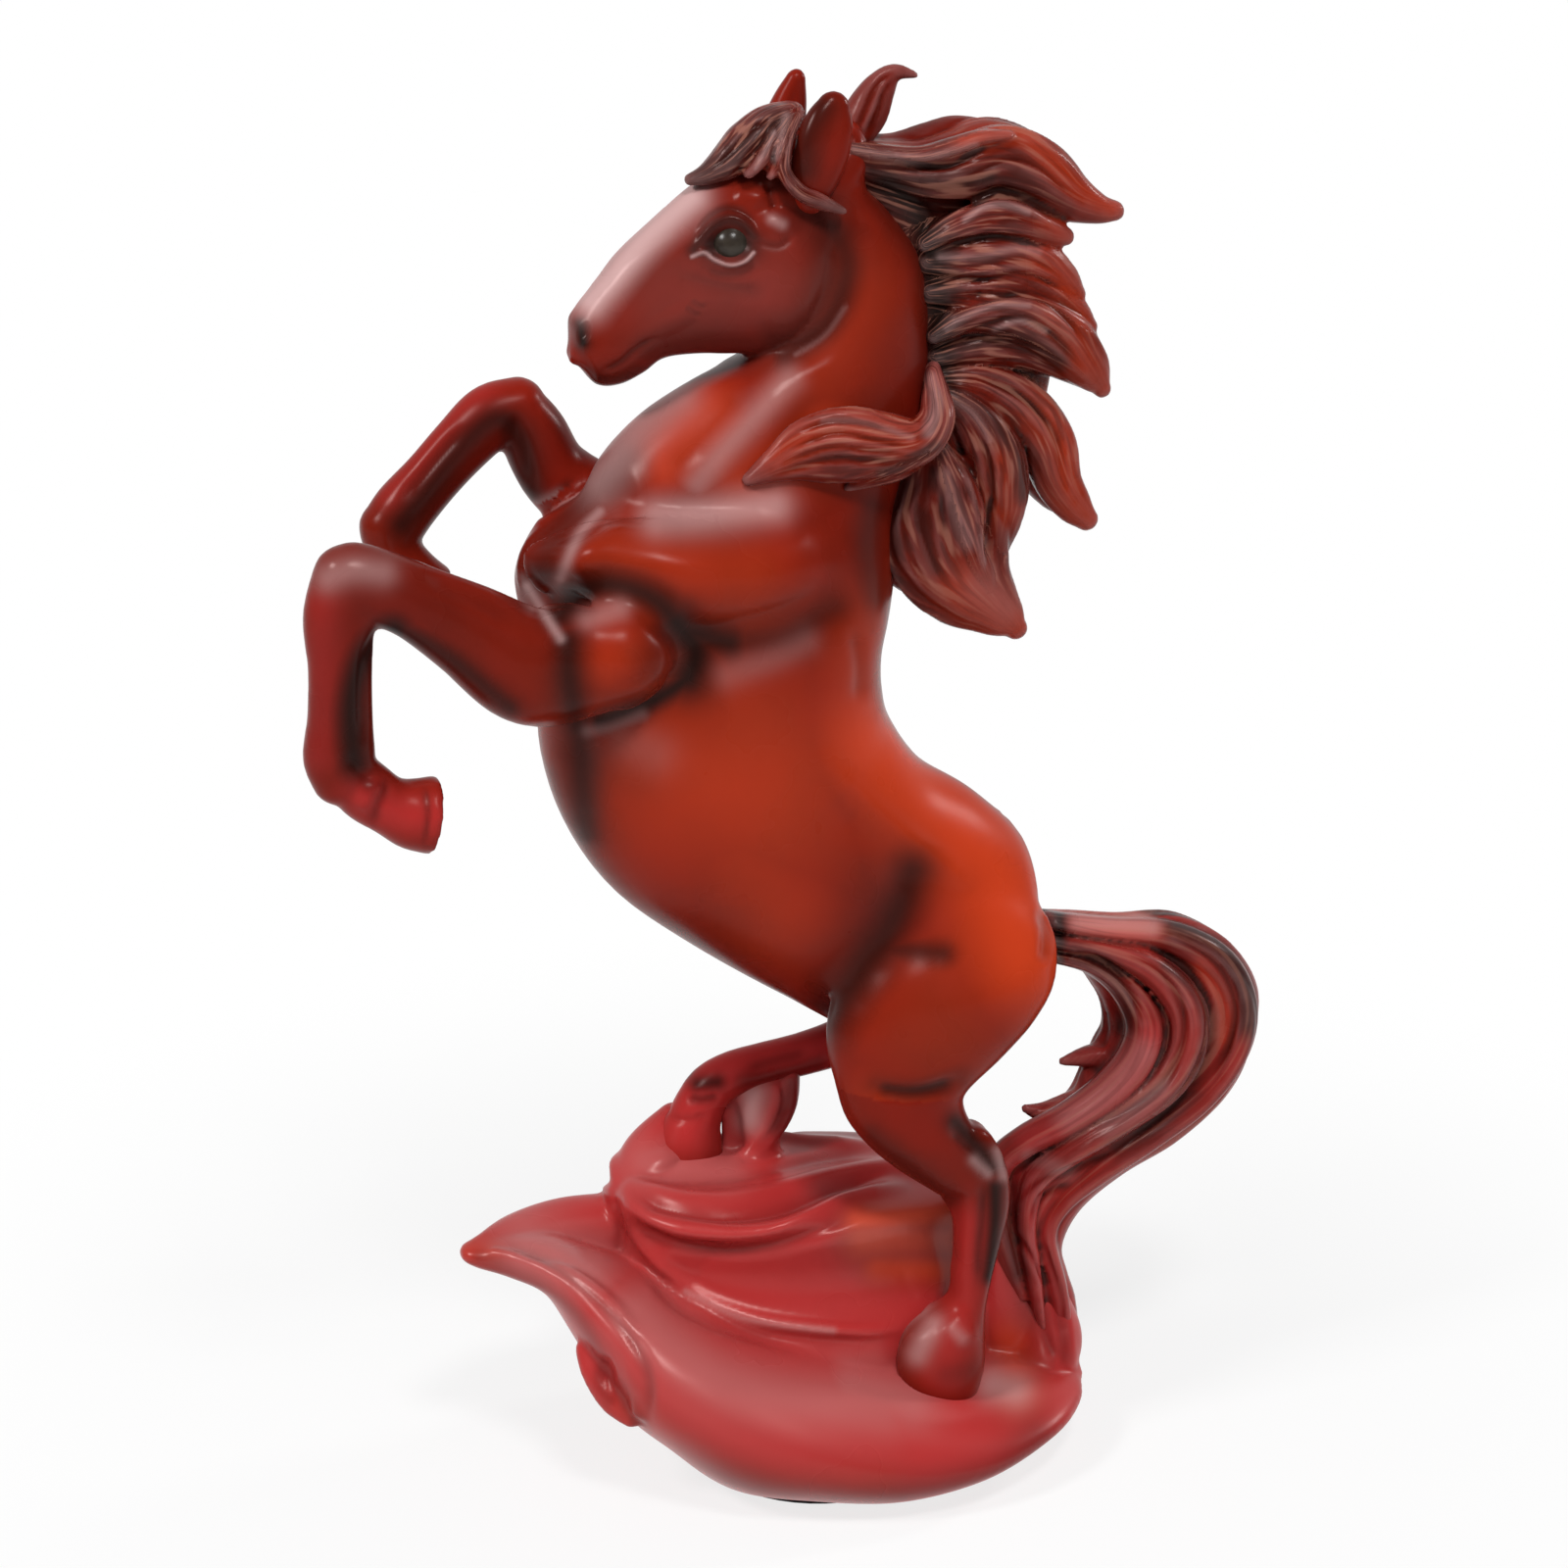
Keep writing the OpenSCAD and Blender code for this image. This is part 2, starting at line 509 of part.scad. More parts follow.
// Skin over sections, each a middle, two half axes and the way of the path
module skinned(sections, sides, last_round) {
    first = sections[0];
    last = sections[len(sections) - 1];
    r0 = -min(norm(first[1]), norm(first[2]));
    r1 = min(norm(last[1]), norm(last[2]));
    rings = concat(
        [for (k = [1, 0]) ring(first, sides, r0 * dome[k][0], dome[k][1])],
        [for (q = sections) ring(q, sides, 0, 1)],
        last_round ? [for (d = dome) ring(last, sides, r1 * d[0], d[1])] : []);
    polyhedron([for (r = rings) each r], skin(rings, sides));
}

function oval(a, b) = [for (j = [0:felt_sides - 1])
    let (t = 360 * j / felt_sides) [a * cos(t), b * sin(t)]];

// Oval rings one above the other
module mound(rings, sides, lean) {
    pts = [for (r = rings) [for (j = [0:sides - 1])
        let (a = 360 * j / sides)
        [r[3] + r[0] * cos(a), r[4] + r[1] * sin(a), r[2] + lean * r[0] * cos(a)]]];
    polyhedron([for (p = pts) each p], skin(pts, sides));
}

// Children raised from the ground's height to the table's
module lift() {
    translate([0, 0, base_h]) children();
}

module on_both_sides() {
    children();
    mirror([0, 1, 0]) children();
}

// Everything beyond a joint plane
module beyond(joint, size = big) {
    along(joint) translate([0, 0, size / 2]) cube(size, center = true);
}

// Children with +Z turned to the way of a joint
module along(joint) {
    n = unit(joint[1]);
    translate(joint[0]) rotate([0, acos(n[2]), atan2(n[1], n[0])]) children();
}

// One cast skin out of several forms
module cast() {
    resize([0, 0, 0]) union() children();
}

// Pin through a joint, its first end the given depth inside
module pin(joint, d, l, depth) {
    along(joint) translate([0, 0, -depth]) cylinder(d = d, h = l, $fn = pin_sides);
}

module bore(joint, d, l, depth) {
    pin(joint, d + 2 * pin_gap, l + 2 * bore_end, depth + bore_end);
}

module body_form(grow = 0) {
    belt(body_rows, body_sides, grow);
}

module trunk_form(grow = 0) {
    body_form(grow);
    mirror([0, 1, 0]) {
        limb(shoulder_rows, muscle_sides, grow);
        limb(elbow_rows, muscle_sides, grow);
    }
    limb(right_shoulder_rows, muscle_sides, grow);
    limb(right_elbow_rows, muscle_sides, grow);
}

module head_form(grow = 0) {
    belt(head_rows, head_sides, grow);
    on_both_sides() limb(cheek_rows, muscle_sides, grow);
}

module left_forearm_form() {
    limb(left_forearm_rows, limb_sides);
}

module right_forearm_form() {
    limb(right_forearm_rows, limb_sides);
}

module left_thigh_form() {
    belt(left_thigh_rows, limb_sides);
}

module right_thigh_form() {
    belt(right_thigh_rows, limb_sides);
}

module left_foreleg_form() {
    left_forearm_form();
    limb(left_fore_cannon_rows, limb_sides);
    limb(left_fore_hoof_rows, limb_sides, last_round = false);
}

module right_foreleg_form() {
    right_forearm_form();
    limb(right_fore_cannon_rows, limb_sides);
    limb(right_fore_hoof_rows, limb_sides, last_round = false);
}

module left_hind_form() {
    left_thigh_form();
    left_shank_form();
}

module left_shank_form(grow = 0) {
    belt(left_hind_cannon_rows, limb_sides, grow, last_round = false);
}

module right_hind_form() {
    right_thigh_form();
    right_shank_form();
}

module right_shank_form(grow = 0) {
    limb(right_hind_cannon_rows, limb_sides, grow, last_round = false);
}

module tail_body_form(grow = 0) {
    belt(tail_rows, limb_sides, grow);
}

module tail_form(grow = 0) {
    tail_body_form(grow);
    for (rows = tail_tip_rows) limb(rows, lock_sides, grow);
}

module neck_lock_form(grow = 0) {
    limb(neck_lock_rows, muscle_sides, grow);
}

// Part of a limb on the trunk's side of its joint
module stub(joint) {
    difference() {
        children();
        beyond(joint);
    }
}

// Part of a limb that is glued on
module glued(joint, size = big) {
    difference() {
        children();
        beyond(facing(joint), size);
    }
}

module trunk_casting() lift() color("firebrick") difference() {
    cast() difference() {
        union() {
            trunk_form();
            stub(left_fore_joint) left_forearm_form();
            stub(right_fore_joint) right_forearm_form();
            stub(left_hind_joint) left_thigh_form();
            stub(right_hind_joint) right_thigh_form();
            stub(tail_joint) belt(tail_root_rows, limb_sides);
        }
        beyond(neck_joint);
    }
    bore(neck_joint, neck_dowel_d, neck_dowel_l, neck_dowel_l / 2);
    bore(left_fore_joint, foreleg_pin_d, foreleg_pin_l, foreleg_pin_l / 2);
    bore(right_fore_joint, foreleg_pin_d, foreleg_pin_l, foreleg_pin_l / 2);
    bore(left_hind_joint, stifle_pin_d, stifle_pin_l, stifle_pin_l / 2);
    bore(right_hind_joint, stifle_pin_d, stifle_pin_l, stifle_pin_l / 2);
    bore(tail_joint, tail_pin_d, tail_pin_l, tail_pin_l / 2);
}

module neck_head_casting() lift() color("brown") difference() {
    cast() glued(neck_joint) {
        trunk_form();
        head_form();
        on_both_sides() {
            limb(eye_rows, lock_sides);
            limb(nostril_rows, rim_sides);
            limb(ear_rows, lock_sides);
        }
        limb(forelock_rows, muscle_sides);
        limb(tuft_rows, lock_sides);
        neck_lock_form();
    }
    bore(neck_joint, neck_dowel_d, neck_dowel_l, neck_dowel_l / 2);
    bore(right_fore_joint, foreleg_pin_d, foreleg_pin_l, foreleg_pin_l / 2);
    for (j = mane_joints) bore(j, mane_pin_d, mane_pin_l, mane_pin_l / 2);
}

module mane_casting() lift() color("maroon") difference() {
    cast() difference() {
        union() {
            limb(mane_root_rows, lock_sides);
            belt(mane_core_rows, lock_sides);
            for (rows = mane_locks) belt(rows, lock_sides);
        }
        body_form(glue_gap);
        head_form(glue_gap);
        limb(tuft_rows, lock_sides, glue_gap);
        neck_lock_form(glue_gap);
    }
    for (j = mane_joints) bore(j, mane_pin_d, mane_pin_l, mane_pin_l / 2);
}

module left_foreleg() lift() color("indianred") difference() {
    cast() difference() {
        glued(left_fore_joint) left_foreleg_form();
        trunk_form(glue_gap);
    }
    bore(left_fore_joint, foreleg_pin_d, foreleg_pin_l, foreleg_pin_l / 2);
}

module right_foreleg() lift() color("indianred") difference() {
    cast() difference() {
        glued(right_fore_joint) right_foreleg_form();
        trunk_form(glue_gap);
    }
    bore(right_fore_joint, foreleg_pin_d, foreleg_pin_l, foreleg_pin_l / 2);
}

module left_hind_leg() lift() color("indianred") difference() {
    cast() difference() {
        glued(left_hind_joint) left_hind_form();
        trunk_form(glue_gap);
    }
    bore(left_hind_joint, stifle_pin_d, stifle_pin_l, stifle_pin_l / 2);
    bore(left_sole, hind_rod_d, left_rod_l, rod_depth);
}

module right_hind_leg() lift() color("indianred") difference() {
    cast() difference() {
        glued(right_hind_joint) right_hind_form();
        trunk_form(glue_gap);
    }
    bore(right_hind_joint, stifle_pin_d, stifle_pin_l, stifle_pin_l / 2);
    bore(right_sole, hind_rod_d, right_rod_l, rod_depth);
}

module tail_casting() lift() color("brown") difference() {
    cast() difference() {
        glued(tail_joint, tail_cut) tail_form();
        body_form(glue_gap);
    }
    bore(tail_joint, tail_pin_d, tail_pin_l, tail_pin_l / 2);
    bore(tail_foot_joint, tail_pin_d, tail_pin_l, tail_foot_depth);
}

module base_casting() lift() color("crimson") difference() {
    cast() difference() {
        union() {
            belt(ground_rows, ground_sides);
            translate([step_x, step_y, 0]) mound(step_rings, ground_sides, step_lean);
            limb(leaf_back_rows, muscle_sides);
            limb(rim_rows, rim_sides);
            limb(scroll_rows, rim_sides);
            limb(bulge_rows, muscle_sides);
            limb(crest_rows, muscle_sides);
        }
        left_shank_form(glue_gap);
        right_shank_form(glue_gap);
        tail_body_form(glue_gap);
        beyond([[0, 0, foot_z], [0, 0, -1]]);
    }
    pocket(cover_d + 2 * glue_gap, 0, cover_t);
    pocket(ballast_d + 2 * glue_gap, 0, cover_t + ballast_h + glue_gap);
    bore(left_sole, hind_rod_d, left_rod_l, rod_depth);
    bore(right_sole, hind_rod_d, right_rod_l, rod_depth);
    bore(tail_foot_joint, tail_pin_d, tail_pin_l, tail_foot_depth);
}

// Disc in the plinth's underside
module pocket(d, from, to) {
    translate([felt_x, bowl_y, foot_z + from]) cylinder(d = d, h = to - from, $fn = felt_sides);
}

module base_ballast() lift() color("gray") pocket(ballast_d, cover_t, cover_t + ballast_h);

module base_cover() lift() color("tan") pocket(cover_d, 0, cover_t);

module base_felt() lift() color("dimgray") translate([felt_x, bowl_y, table_z])
    linear_extrude(felt_t) polygon(oval(felt_l / 2, felt_w / 2));

module neck_dowel() lift() color("silver")
    pin(neck_joint, neck_dowel_d, neck_dowel_l, neck_dowel_l / 2);

module left_foreleg_pin() lift() color("silver")
    pin(left_fore_joint, foreleg_pin_d, foreleg_pin_l, foreleg_pin_l / 2);

module right_foreleg_pin() lift() color("silver")
    pin(right_fore_joint, foreleg_pin_d, foreleg_pin_l, foreleg_pin_l / 2);

module left_stifle_pin() lift() color("silver")
    pin(left_hind_joint, stifle_pin_d, stifle_pin_l, stifle_pin_l / 2);

module right_stifle_pin() lift() color("silver")
    pin(right_hind_joint, stifle_pin_d, stifle_pin_l, stifle_pin_l / 2);

module left_hind_rod() lift() color("silver") pin(left_sole, hind_rod_d, left_rod_l, rod_depth);

module right_hind_rod() lift() color("silver") pin(right_sole, hind_rod_d, right_rod_l, rod_depth);

module tail_root_pin() lift() color("silver") pin(tail_joint, tail_pin_d, tail_pin_l, tail_pin_l / 2);

module tail_foot_pin() lift() color("silver")
    pin(tail_foot_joint, tail_pin_d, tail_pin_l, tail_foot_depth);

module mane_pins() lift() color("silver")
    for (j = mane_joints) pin(j, mane_pin_d, mane_pin_l, mane_pin_l / 2);

base_casting();
base_ballast();
base_cover();
base_felt();
trunk_casting();
neck_head_casting();
mane_casting();
left_foreleg();
right_foreleg();
left_hind_leg();
right_hind_leg();
tail_casting();
neck_dowel();
left_foreleg_pin();
right_foreleg_pin();
left_stifle_pin();
right_stifle_pin();
left_hind_rod();
right_hind_rod();
tail_root_pin();
tail_foot_pin();
mane_pins();
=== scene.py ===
"""Rearing horse statuette in lacquered resin: the carved castings, their painted wash, painted shade and painted
highlights, and the studio.
"""
import json
import math

import bmesh
import bpy
import numpy as np
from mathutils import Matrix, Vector


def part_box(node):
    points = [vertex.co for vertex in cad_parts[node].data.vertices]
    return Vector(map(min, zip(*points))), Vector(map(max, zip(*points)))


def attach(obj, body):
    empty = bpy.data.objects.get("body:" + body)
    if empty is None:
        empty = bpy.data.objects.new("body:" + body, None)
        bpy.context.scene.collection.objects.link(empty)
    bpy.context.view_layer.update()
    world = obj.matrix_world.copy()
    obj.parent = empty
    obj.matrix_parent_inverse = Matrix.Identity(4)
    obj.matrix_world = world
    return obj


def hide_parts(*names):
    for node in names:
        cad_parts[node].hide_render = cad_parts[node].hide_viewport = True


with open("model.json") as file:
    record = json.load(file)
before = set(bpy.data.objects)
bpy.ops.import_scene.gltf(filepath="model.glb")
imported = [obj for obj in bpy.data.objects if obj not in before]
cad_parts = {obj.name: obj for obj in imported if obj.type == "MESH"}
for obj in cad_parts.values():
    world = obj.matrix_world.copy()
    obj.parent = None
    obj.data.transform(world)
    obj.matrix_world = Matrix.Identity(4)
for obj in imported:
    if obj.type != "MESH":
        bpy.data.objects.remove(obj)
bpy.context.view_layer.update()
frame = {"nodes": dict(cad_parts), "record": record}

bl_info = {
    "name": "Rearing Horse Statuette",
    "version": (1, 0, 0),
    "blender": (4, 5, 0),
    "location": "View3D > Sidebar > Statuette",
    "description": "Carves, paints and lights a cast resin statuette of a rearing horse",
    "category": "Object",
}

MM = 0.001
# Height of the left hind hoof's ground, which the tables below are measured from
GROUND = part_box("left_hind_leg")[0][2]
BODY = "root"
# Layers of paint that each vertex keeps: black wash with painted shade, ember, rose, and pale dust with painted
# highlights
WASH_AND_SHADE, EMBER, ROSE, DUST_AND_HIGHLIGHT = range(4)

# Camera of the photograph: turn, height angle, distance and focal length in pixels
PHOTO_SIZE = 1600
PHOTO_TURN = math.radians(-18)
PHOTO_RISE = math.radians(20)
PHOTO_DISTANCE = 0.78
PHOTO_FOCAL = 3825
PHOTO_AIM = np.array([-0.014, 0.0, 0.1535])
SENSOR = 36.0
PIXELS_PER_MM = 4.9

# Strokes: how far a face must turn to the camera to take them fully, mm past a mirror plane in which they fade,
# steps of a line for each typed point, reach in widths and spread of the wash and painted shade
FULL_FACING = 0.3
PLANE_FADE = 3
LINE_STEPS = 5
STROKE_REACH = 2.5
WASH_AND_SHADE_SPREAD = 1.4
# The far side's chest keeps its plain form under this height and in front of this x, with a soft edge
CHEST_TOP = 205 * MM
CHEST_FRONT = -64
CHEST_FADE = 8

# Rounded ends of the lofts: rings, and the share of the quarter turn that they cover
DOME_RINGS = 4
DOME_SHARE = 0.97
# Rings along and sides round the lofts
LIMB_RINGS, SHORT_RINGS, LIMB_SIDES = 40, 30, 32
HAIR_RINGS, MANE_SIDES, FACE_HAIR_SIDES = 60, 90, 84
TAIL_RINGS, TAIL_SIDES = 120, 120
TAIL_LOCK_RINGS, TAIL_LOCK_SIDES, FAR_LOCK_SIDES, WISP_SIDES = 70, 72, 60, 48
GROUND_RINGS, PLINTH_SIDES = 70, 96
FINE_SIDES, CORE_RINGS = 64, 50
EYE_SIDES, EYE_RINGS = 48, 24

# Grooves of the locks: fine ones for each coarse one, twist of the strands, step of the pattern from lock to lock
FINE_STRANDS = 3.0
MANE_TWIST, TAIL_TWIST = 0.05, 0.04
MANE_SEED, FACE_SEED, TAIL_SEED = 0.37, 0.2, 0.3
WISP_STRANDS = 7
# Painted hairs: reach of a lock, mm of depth that count as a half width, worst score, lines along a lock,
# step of the pattern, end of a lock in which they fade and the least that shows
COMB_REACH = 0.6
COMB_DEPTH = 5
COMB_WORST = 9.0
COMB_LENGTH = 4
COMB_STEP = 7.3
COMB_FADE = 0.45
COMB_LEAST = 0.12
# Far copies of the tail's locks: twice the plane they mirror in, the depth in mm of the core that they sink into,
# and the pixel row and rows in which they do
FAR_MIRROR = -9
FAR_CORE = -7
FAR_SINK, FAR_SINK_ROWS = 1120, 160
# Plane in mm that the tail's strokes mirror in
TAIL_PLANE = -5.0

# Window of pixels round the face, and its lowest height, where the skin is made finer
FACE_WINDOW = ((572, 180), (815, 400))
FACE_FLOOR = 216 * MM
EYE_PIXEL = (745, 248)
# How near faces lie to a joint's plane and to its middle to be cut
CUT_BAND = 4 * MM
CUT_REACH = 32 * MM
# Height over the felt in which the plinth's foot stays as it is, and how the plinth's strokes run out
FOOT_FADE = 3 * MM
PLINTH_TAPER = 0.12

# Hollow of an ear: depth as a share of its section, and width as an angle
EAR_DEPTH, EAR_WIDTH = 0.35, 0.8

# Scales of the noise in the paint; limits of its clouds and how far they cover; the same for the lacquer's roughness
CLOUD_SCALE, GRAIN_SCALE, EYE_SCALE = 38, 900, 400
CLOUD_RANGE, CLOUD_SHARE = (0.35, 0.7), 0.7
ROUGH_RANGE, SMOOTHER, ROUGHER = (0.2, 0.8), 0.06, 0.08
# Limits of the noise for dark and pale painted hairs, and the relief of the skin and of the hairs
DARK_HAIRS, PALE_HAIRS = (0.5, 0.34), (0.53, 0.7)
SKIN_BUMP = {"Strength": 0.05, "Distance": 0.0002}
HAIR_BUMP = {"Strength": 0.5, "Distance": 0.0006}
# Finishes of the fittings by slot: name, colour, roughness, metal, scale of the grain, its stretch and its lift
FITTINGS = {
    "steel_pin": ("drawn_steel", (0.55, 0.55, 0.57), 0.3, 1.0, 600, (1, 1, 0.1), 0.1),
    "cement_plug": ("cast_cement", (0.45, 0.44, 0.42), 0.9, 0.0, 300, (1, 1, 1), 0.4),
    "board": ("grey_board", (0.45, 0.34, 0.22), 0.9, 0.0, 500, (1, 1, 1), 0.2),
    "felt": ("pressed_felt", (0.03, 0.03, 0.033), 1.0, 0.0, 1500, (1, 1, 1), 0.8)}
# Lamps: name, the studio's setting of its power, size and place in metres
LAMPS = [
    ("key_lamp", "key", 0.22, (-0.78, -0.25, 0.85)), ("fill_lamp", "fill", 0.5, (0.35, -1.0, 0.5)),
    ("top_lamp", "top", 0.2, (0.0, -0.64, 1.02)), ("rim_lamp", "rim", 0.14, (0.95, 0.1, 0.6))]
# Floor: half size in metres, tone, where it starts to whiten and how white it is there
FLOOR_HALF = 3
FLOOR_TONE = 0.86
FLOOR_START, FLOOR_SHARE = 0.06, 0.78
# Where the white backdrop starts and is full, as the way to it along y
BACKDROP_START, BACKDROP_FULL = -0.2, 0.6

# A belt's row: two edge points x z, the middle's y and the half width, in mm
BARREL = [
    (38, 83, 39, 101, 0, 11), (32, 71, 39.5, 116, 0, 16.4), (9, 73, 28, 129, 0, 21.2),
    (-16, 88.5, 15.5, 137.5, 0, 23.3), (-36.5, 103, 8, 148.5, 0, 24.9), (-51.5, 116, 6, 156.5, 0, 26),
    (-61, 131, 6, 164, 0, 26.5), (-65.5, 146.5, 7.5, 171, 0, 26.5), (-66, 161.5, 8.5, 177, 0, 25.7),
    (-68.5, 174, 9, 183, 0, 24.4), (-70, 185, 9.5, 189, 0, 22.5), (-65, 195, 10.5, 195.5, 0, 20.1),
    (-58, 200, 12, 202, 0, 18), (-52.5, 207, 14.5, 210, 0, 16.5), (-44, 215, 16.5, 219, 0, 14.5),
    (-33, 221, 16.5, 228, 0, 13), (-22, 226, 16, 236.5, 0, 11.9), (-18, 234, 14.5, 244.5, 0, 11),
    (-15, 242, 10.5, 250.5, 0, 10.7), (-11, 249.5, 6, 255.5, 0, 9.9), (-7.5, 256, 2.5, 258.5, 0, 8.8)]
HEAD = [
    (0, 256, -4, 270, 0, 8), (-0.5, 240, -15.5, 270, 0, 10.1), (-5, 230.5, -24.5, 265.5, 0, 11.5),
    (-14, 226.5, -31, 262, 0, 11.5), (-25, 227, -36, 258.5, 0, 10.4), (-33, 227.5, -42, 253.5, 0, 8.5),
    (-39.5, 227, -48, 248, 0, 7.5), (-43.5, 224.5, -52.5, 242.5, 0, 7.2), (-48.5, 222.5, -56.5, 238.5, 0, 7.1),
    (-53.2, 222.9, -58.1, 235.6, 0, 6.3), (-56.6, 227, -57.6, 231, 0, 4)]
LEFT_THIGH = [
    (33, 114, 2, 128, -8, 7), (41, 102, -2.5, 115.5, -13, 10), (40.5, 92, -7, 101, -17.5, 11.5),
    (35.5, 84, -10.5, 89.5, -19.5, 11), (28, 77, -11, 82, -20.5, 10.2), (19.5, 70.5, -9.5, 74.5, -21.5, 9.2),
    (18.5, 66.5, -7.5, 67, -22.3, 8.4), (21, 61, -3, 60.5, -23, 7.6), (25, 55.5, 3, 54.5, -23, 6.8),
    (27.5, 50, 10, 49, -23, 6.2)]
LEFT_SHANK = [
    (25, 58, 11, 56.5, -23, 5.8), (28.5, 50.5, 12.5, 48.5, -23, 6), (29, 42.5, 15.5, 42, -23, 5.6),
    (27.4, 34.5, 16.4, 35.5, -23, 5), (25.4, 26, 16.4, 28, -23, 4.8), (24.2, 20, 15.8, 21.5, -23, 5),
    (24, 15, 11, 18.2, -23, 6), (24, 10, 6, 13.8, -23, 7.4), (23.8, 5, 4.4, 7, -23, 8.4),
    (22.6, 0, 5.6, 1.5, -23, 7.8), (20, -5, 8.6, -4, -23, 5.4)]
RIGHT_THIGH = [
    (32, 114, 4, 128, 8, 7), (36, 102, 1, 115, 13, 10), (36, 92, -1, 100, 17, 11), (30, 84, -1, 89, 18.5, 10.4),
    (25, 79, 1, 81.5, 20, 9), (21, 75, 4, 76.5, 20.5, 7.8), (21, 71, 8, 71.5, 20.5, 6.8),
    (22.5, 66.5, 12, 66.5, 20.5, 6)]
TAIL = [
    (38, 100, 38.5, 88, 0, 4.8), (51.5, 98, 51.5, 85.5, 0, 5.3), (62.5, 96, 56.5, 80, 0, 6.5),
    (76.5, 94.5, 59, 74.5, 0, 7.8), (88.5, 87, 59, 69.5, -1, 9), (96, 74.5, 57, 66, -1, 9.9),
    (94.5, 61.5, 54, 61, -2, 10.3), (88, 51, 51, 56, -3, 10), (76.5, 42.5, 46, 52.5, -4, 9.3),
    (63, 37, 40, 49.5, -5.5, 8.6), (52.5, 30.5, 34, 44, -7, 7.6), (48, 22.5, 32, 34, -7.5, 6.7),
    (49.5, 15.5, 32, 23, -7.5, 6.1), (52, 8, 33, 12.5, -7, 5.7), (53, -1, 37, 1.5, -6, 5.1),
    (50, -4.5, 41, -3.5, -5, 4)]
MANE_CORE = [
    (36, 264, 0, 262, 0, 2.9), (40, 252, 6, 250, 0, 3.4), (42, 238, 10, 238, 0, 3.8), (44, 226, 12, 228, 0, 4.3),
    (42, 210, 12, 216, 0, 4.5), (38, 198, 11, 204, 0, 5), (32, 186, 10, 190, 0, 5), (29, 175, 14, 178, 0, 4)]
PLINTH_GROUND = [
    (49.5, -8.5, 49.5, -4.5, -7, 11.2), (45.5, -11, 45.5, -3, -7, 20), (35.5, -13.5, 35.5, -1, -7, 30.4),
    (18, -19, 18, 1.5, -7, 38.4), (0, -23, -2, 8, -7, 40), (-18, -22, -20, 15, -6, 38.4),
    (-34, -19, -32, 21, -5, 35.2), (-46, -9, -42, 25.5, -4, 31.6), (-55, 0, -50, 29, -3, 27.2),
    (-62, 14, -57, 32, 0, 20.8), (-68, 24.5, -64, 34.5, 4, 13.6), (-75, 27.5, -72, 35, 7, 8),
    (-81, 29.5, -80, 35, 8, 4.6), (-82.5, 30.5, -82, 34.6, 8, 3.6)]

# A limb's row: place x y z, half width across and half depth along the bend, in mm
SHOULDER = [
    (-66, 11, 189, 4.5, 6), (-58, 16, 191.5, 8, 8), (-45, 19, 188.5, 9.6, 11.5), (-29, 19, 187, 8, 11.5),
    (-14, 17, 185.5, 5, 9), (-4, 13, 183, 4, 5)]
ELBOW = [
    (-66, 23.5, 174.5, 4, 5), (-63, 24, 174.5, 8, 8.6), (-56, 24, 174.5, 10.6, 11), (-49.5, 23.5, 174.5, 8, 8.6),
    (-46.5, 23, 174.5, 4, 5)]
RIGHT_SHOULDER = [(-56, 14, 190, 5, 6)] + SHOULDER[2:]
RIGHT_ELBOW = [(-51, 19, 178, 4, 5), (-45, 20, 178.5, 8.5, 9.5), (-39, 19, 178.5, 4, 5)]
CHEEK = [(-28, 6, 241.5, 3.2, 8), (-22, 7, 244, 4.6, 13.5), (-15, 7, 245.5, 4.8, 14.5), (-8, 6, 246, 3.6, 10)]
LEFT_FOREARM = [
    (-56, -23, 172.5, 6.5, 9.5), (-66.5, -24.5, 173.8, 8.4, 12.2), (-75, -26, 175, 8.6, 11.6),
    (-86, -26, 183, 7.4, 9.3), (-97, -26, 190.2, 6.7, 7.4), (-105.4, -26, 193.9, 6.6, 7.6),
    (-109, -26, 195, 6.2, 7.6)]
LEFT_FORE_SHANK = [
    (-108.5, -26, 196, 6, 7.2), (-111, -26, 188, 5.8, 7), (-111.3, -26, 178.3, 5.2, 6.2),
    (-111.7, -26, 168.4, 5.2, 6.3), (-112.2, -26, 160.6, 5.8, 7), (-111.5, -26, 156, 5.7, 6.4)]
LEFT_FORE_HOOF = [
    (-112.5, -26, 158.5, 5.5, 5.6), (-107, -26, 152.4, 5.5, 6), (-103, -26, 149.2, 5.7, 5.8),
    (-98.5, -26, 147, 6.6, 7.1), (-94, -26, 146, 7.5, 7.7)]
RIGHT_FOREARM = [
    (-42, 14, 186, 8.5, 10), (-51, 17, 194.5, 8.2, 8.6), (-57.5, 18, 201, 7.4, 7.4), (-61.5, 18, 209, 6.8, 7),
    (-65, 18, 214, 6.4, 6.4)]
RIGHT_FORE_SHANK = [
    (-64.5, 18, 215, 6.2, 5.8), (-70.2, 18, 213, 6.2, 6.6), (-76.5, 18, 207.6, 5.4, 6.2), (-82.7, 18, 201.4, 5.2, 6),
    (-88.5, 18, 195.4, 5.7, 6.4), (-91.5, 18, 191, 5.7, 6.4)]
RIGHT_FORE_HOOF = [
    (-92, 18, 192, 5.7, 5.8), (-90.7, 18, 186.9, 5.5, 5.6), (-87.8, 18, 182.5, 5.7, 5.6), (-84.5, 18, 178, 6.9, 6.5)]
RIGHT_SHANK = [
    (17, 20, 69, 5.6, 6.6), (14, 20, 67.6, 5.8, 7), (6, 20, 65, 5.2, 5.3), (-3, 20, 63.2, 4.8, 4.8),
    (-12, 20, 62.1, 4.8, 4.7), (-19.5, 20, 60.6, 5.2, 5), (-24.8, 20, 57.6, 5.4, 5.4), (-28, 20, 51.6, 5.8, 6),
    (-29.4, 20, 47, 7.4, 7.6), (-30.2, 20, 43.5, 8.2, 8.4), (-30.5, 20, 38, 8.2, 8.4)]
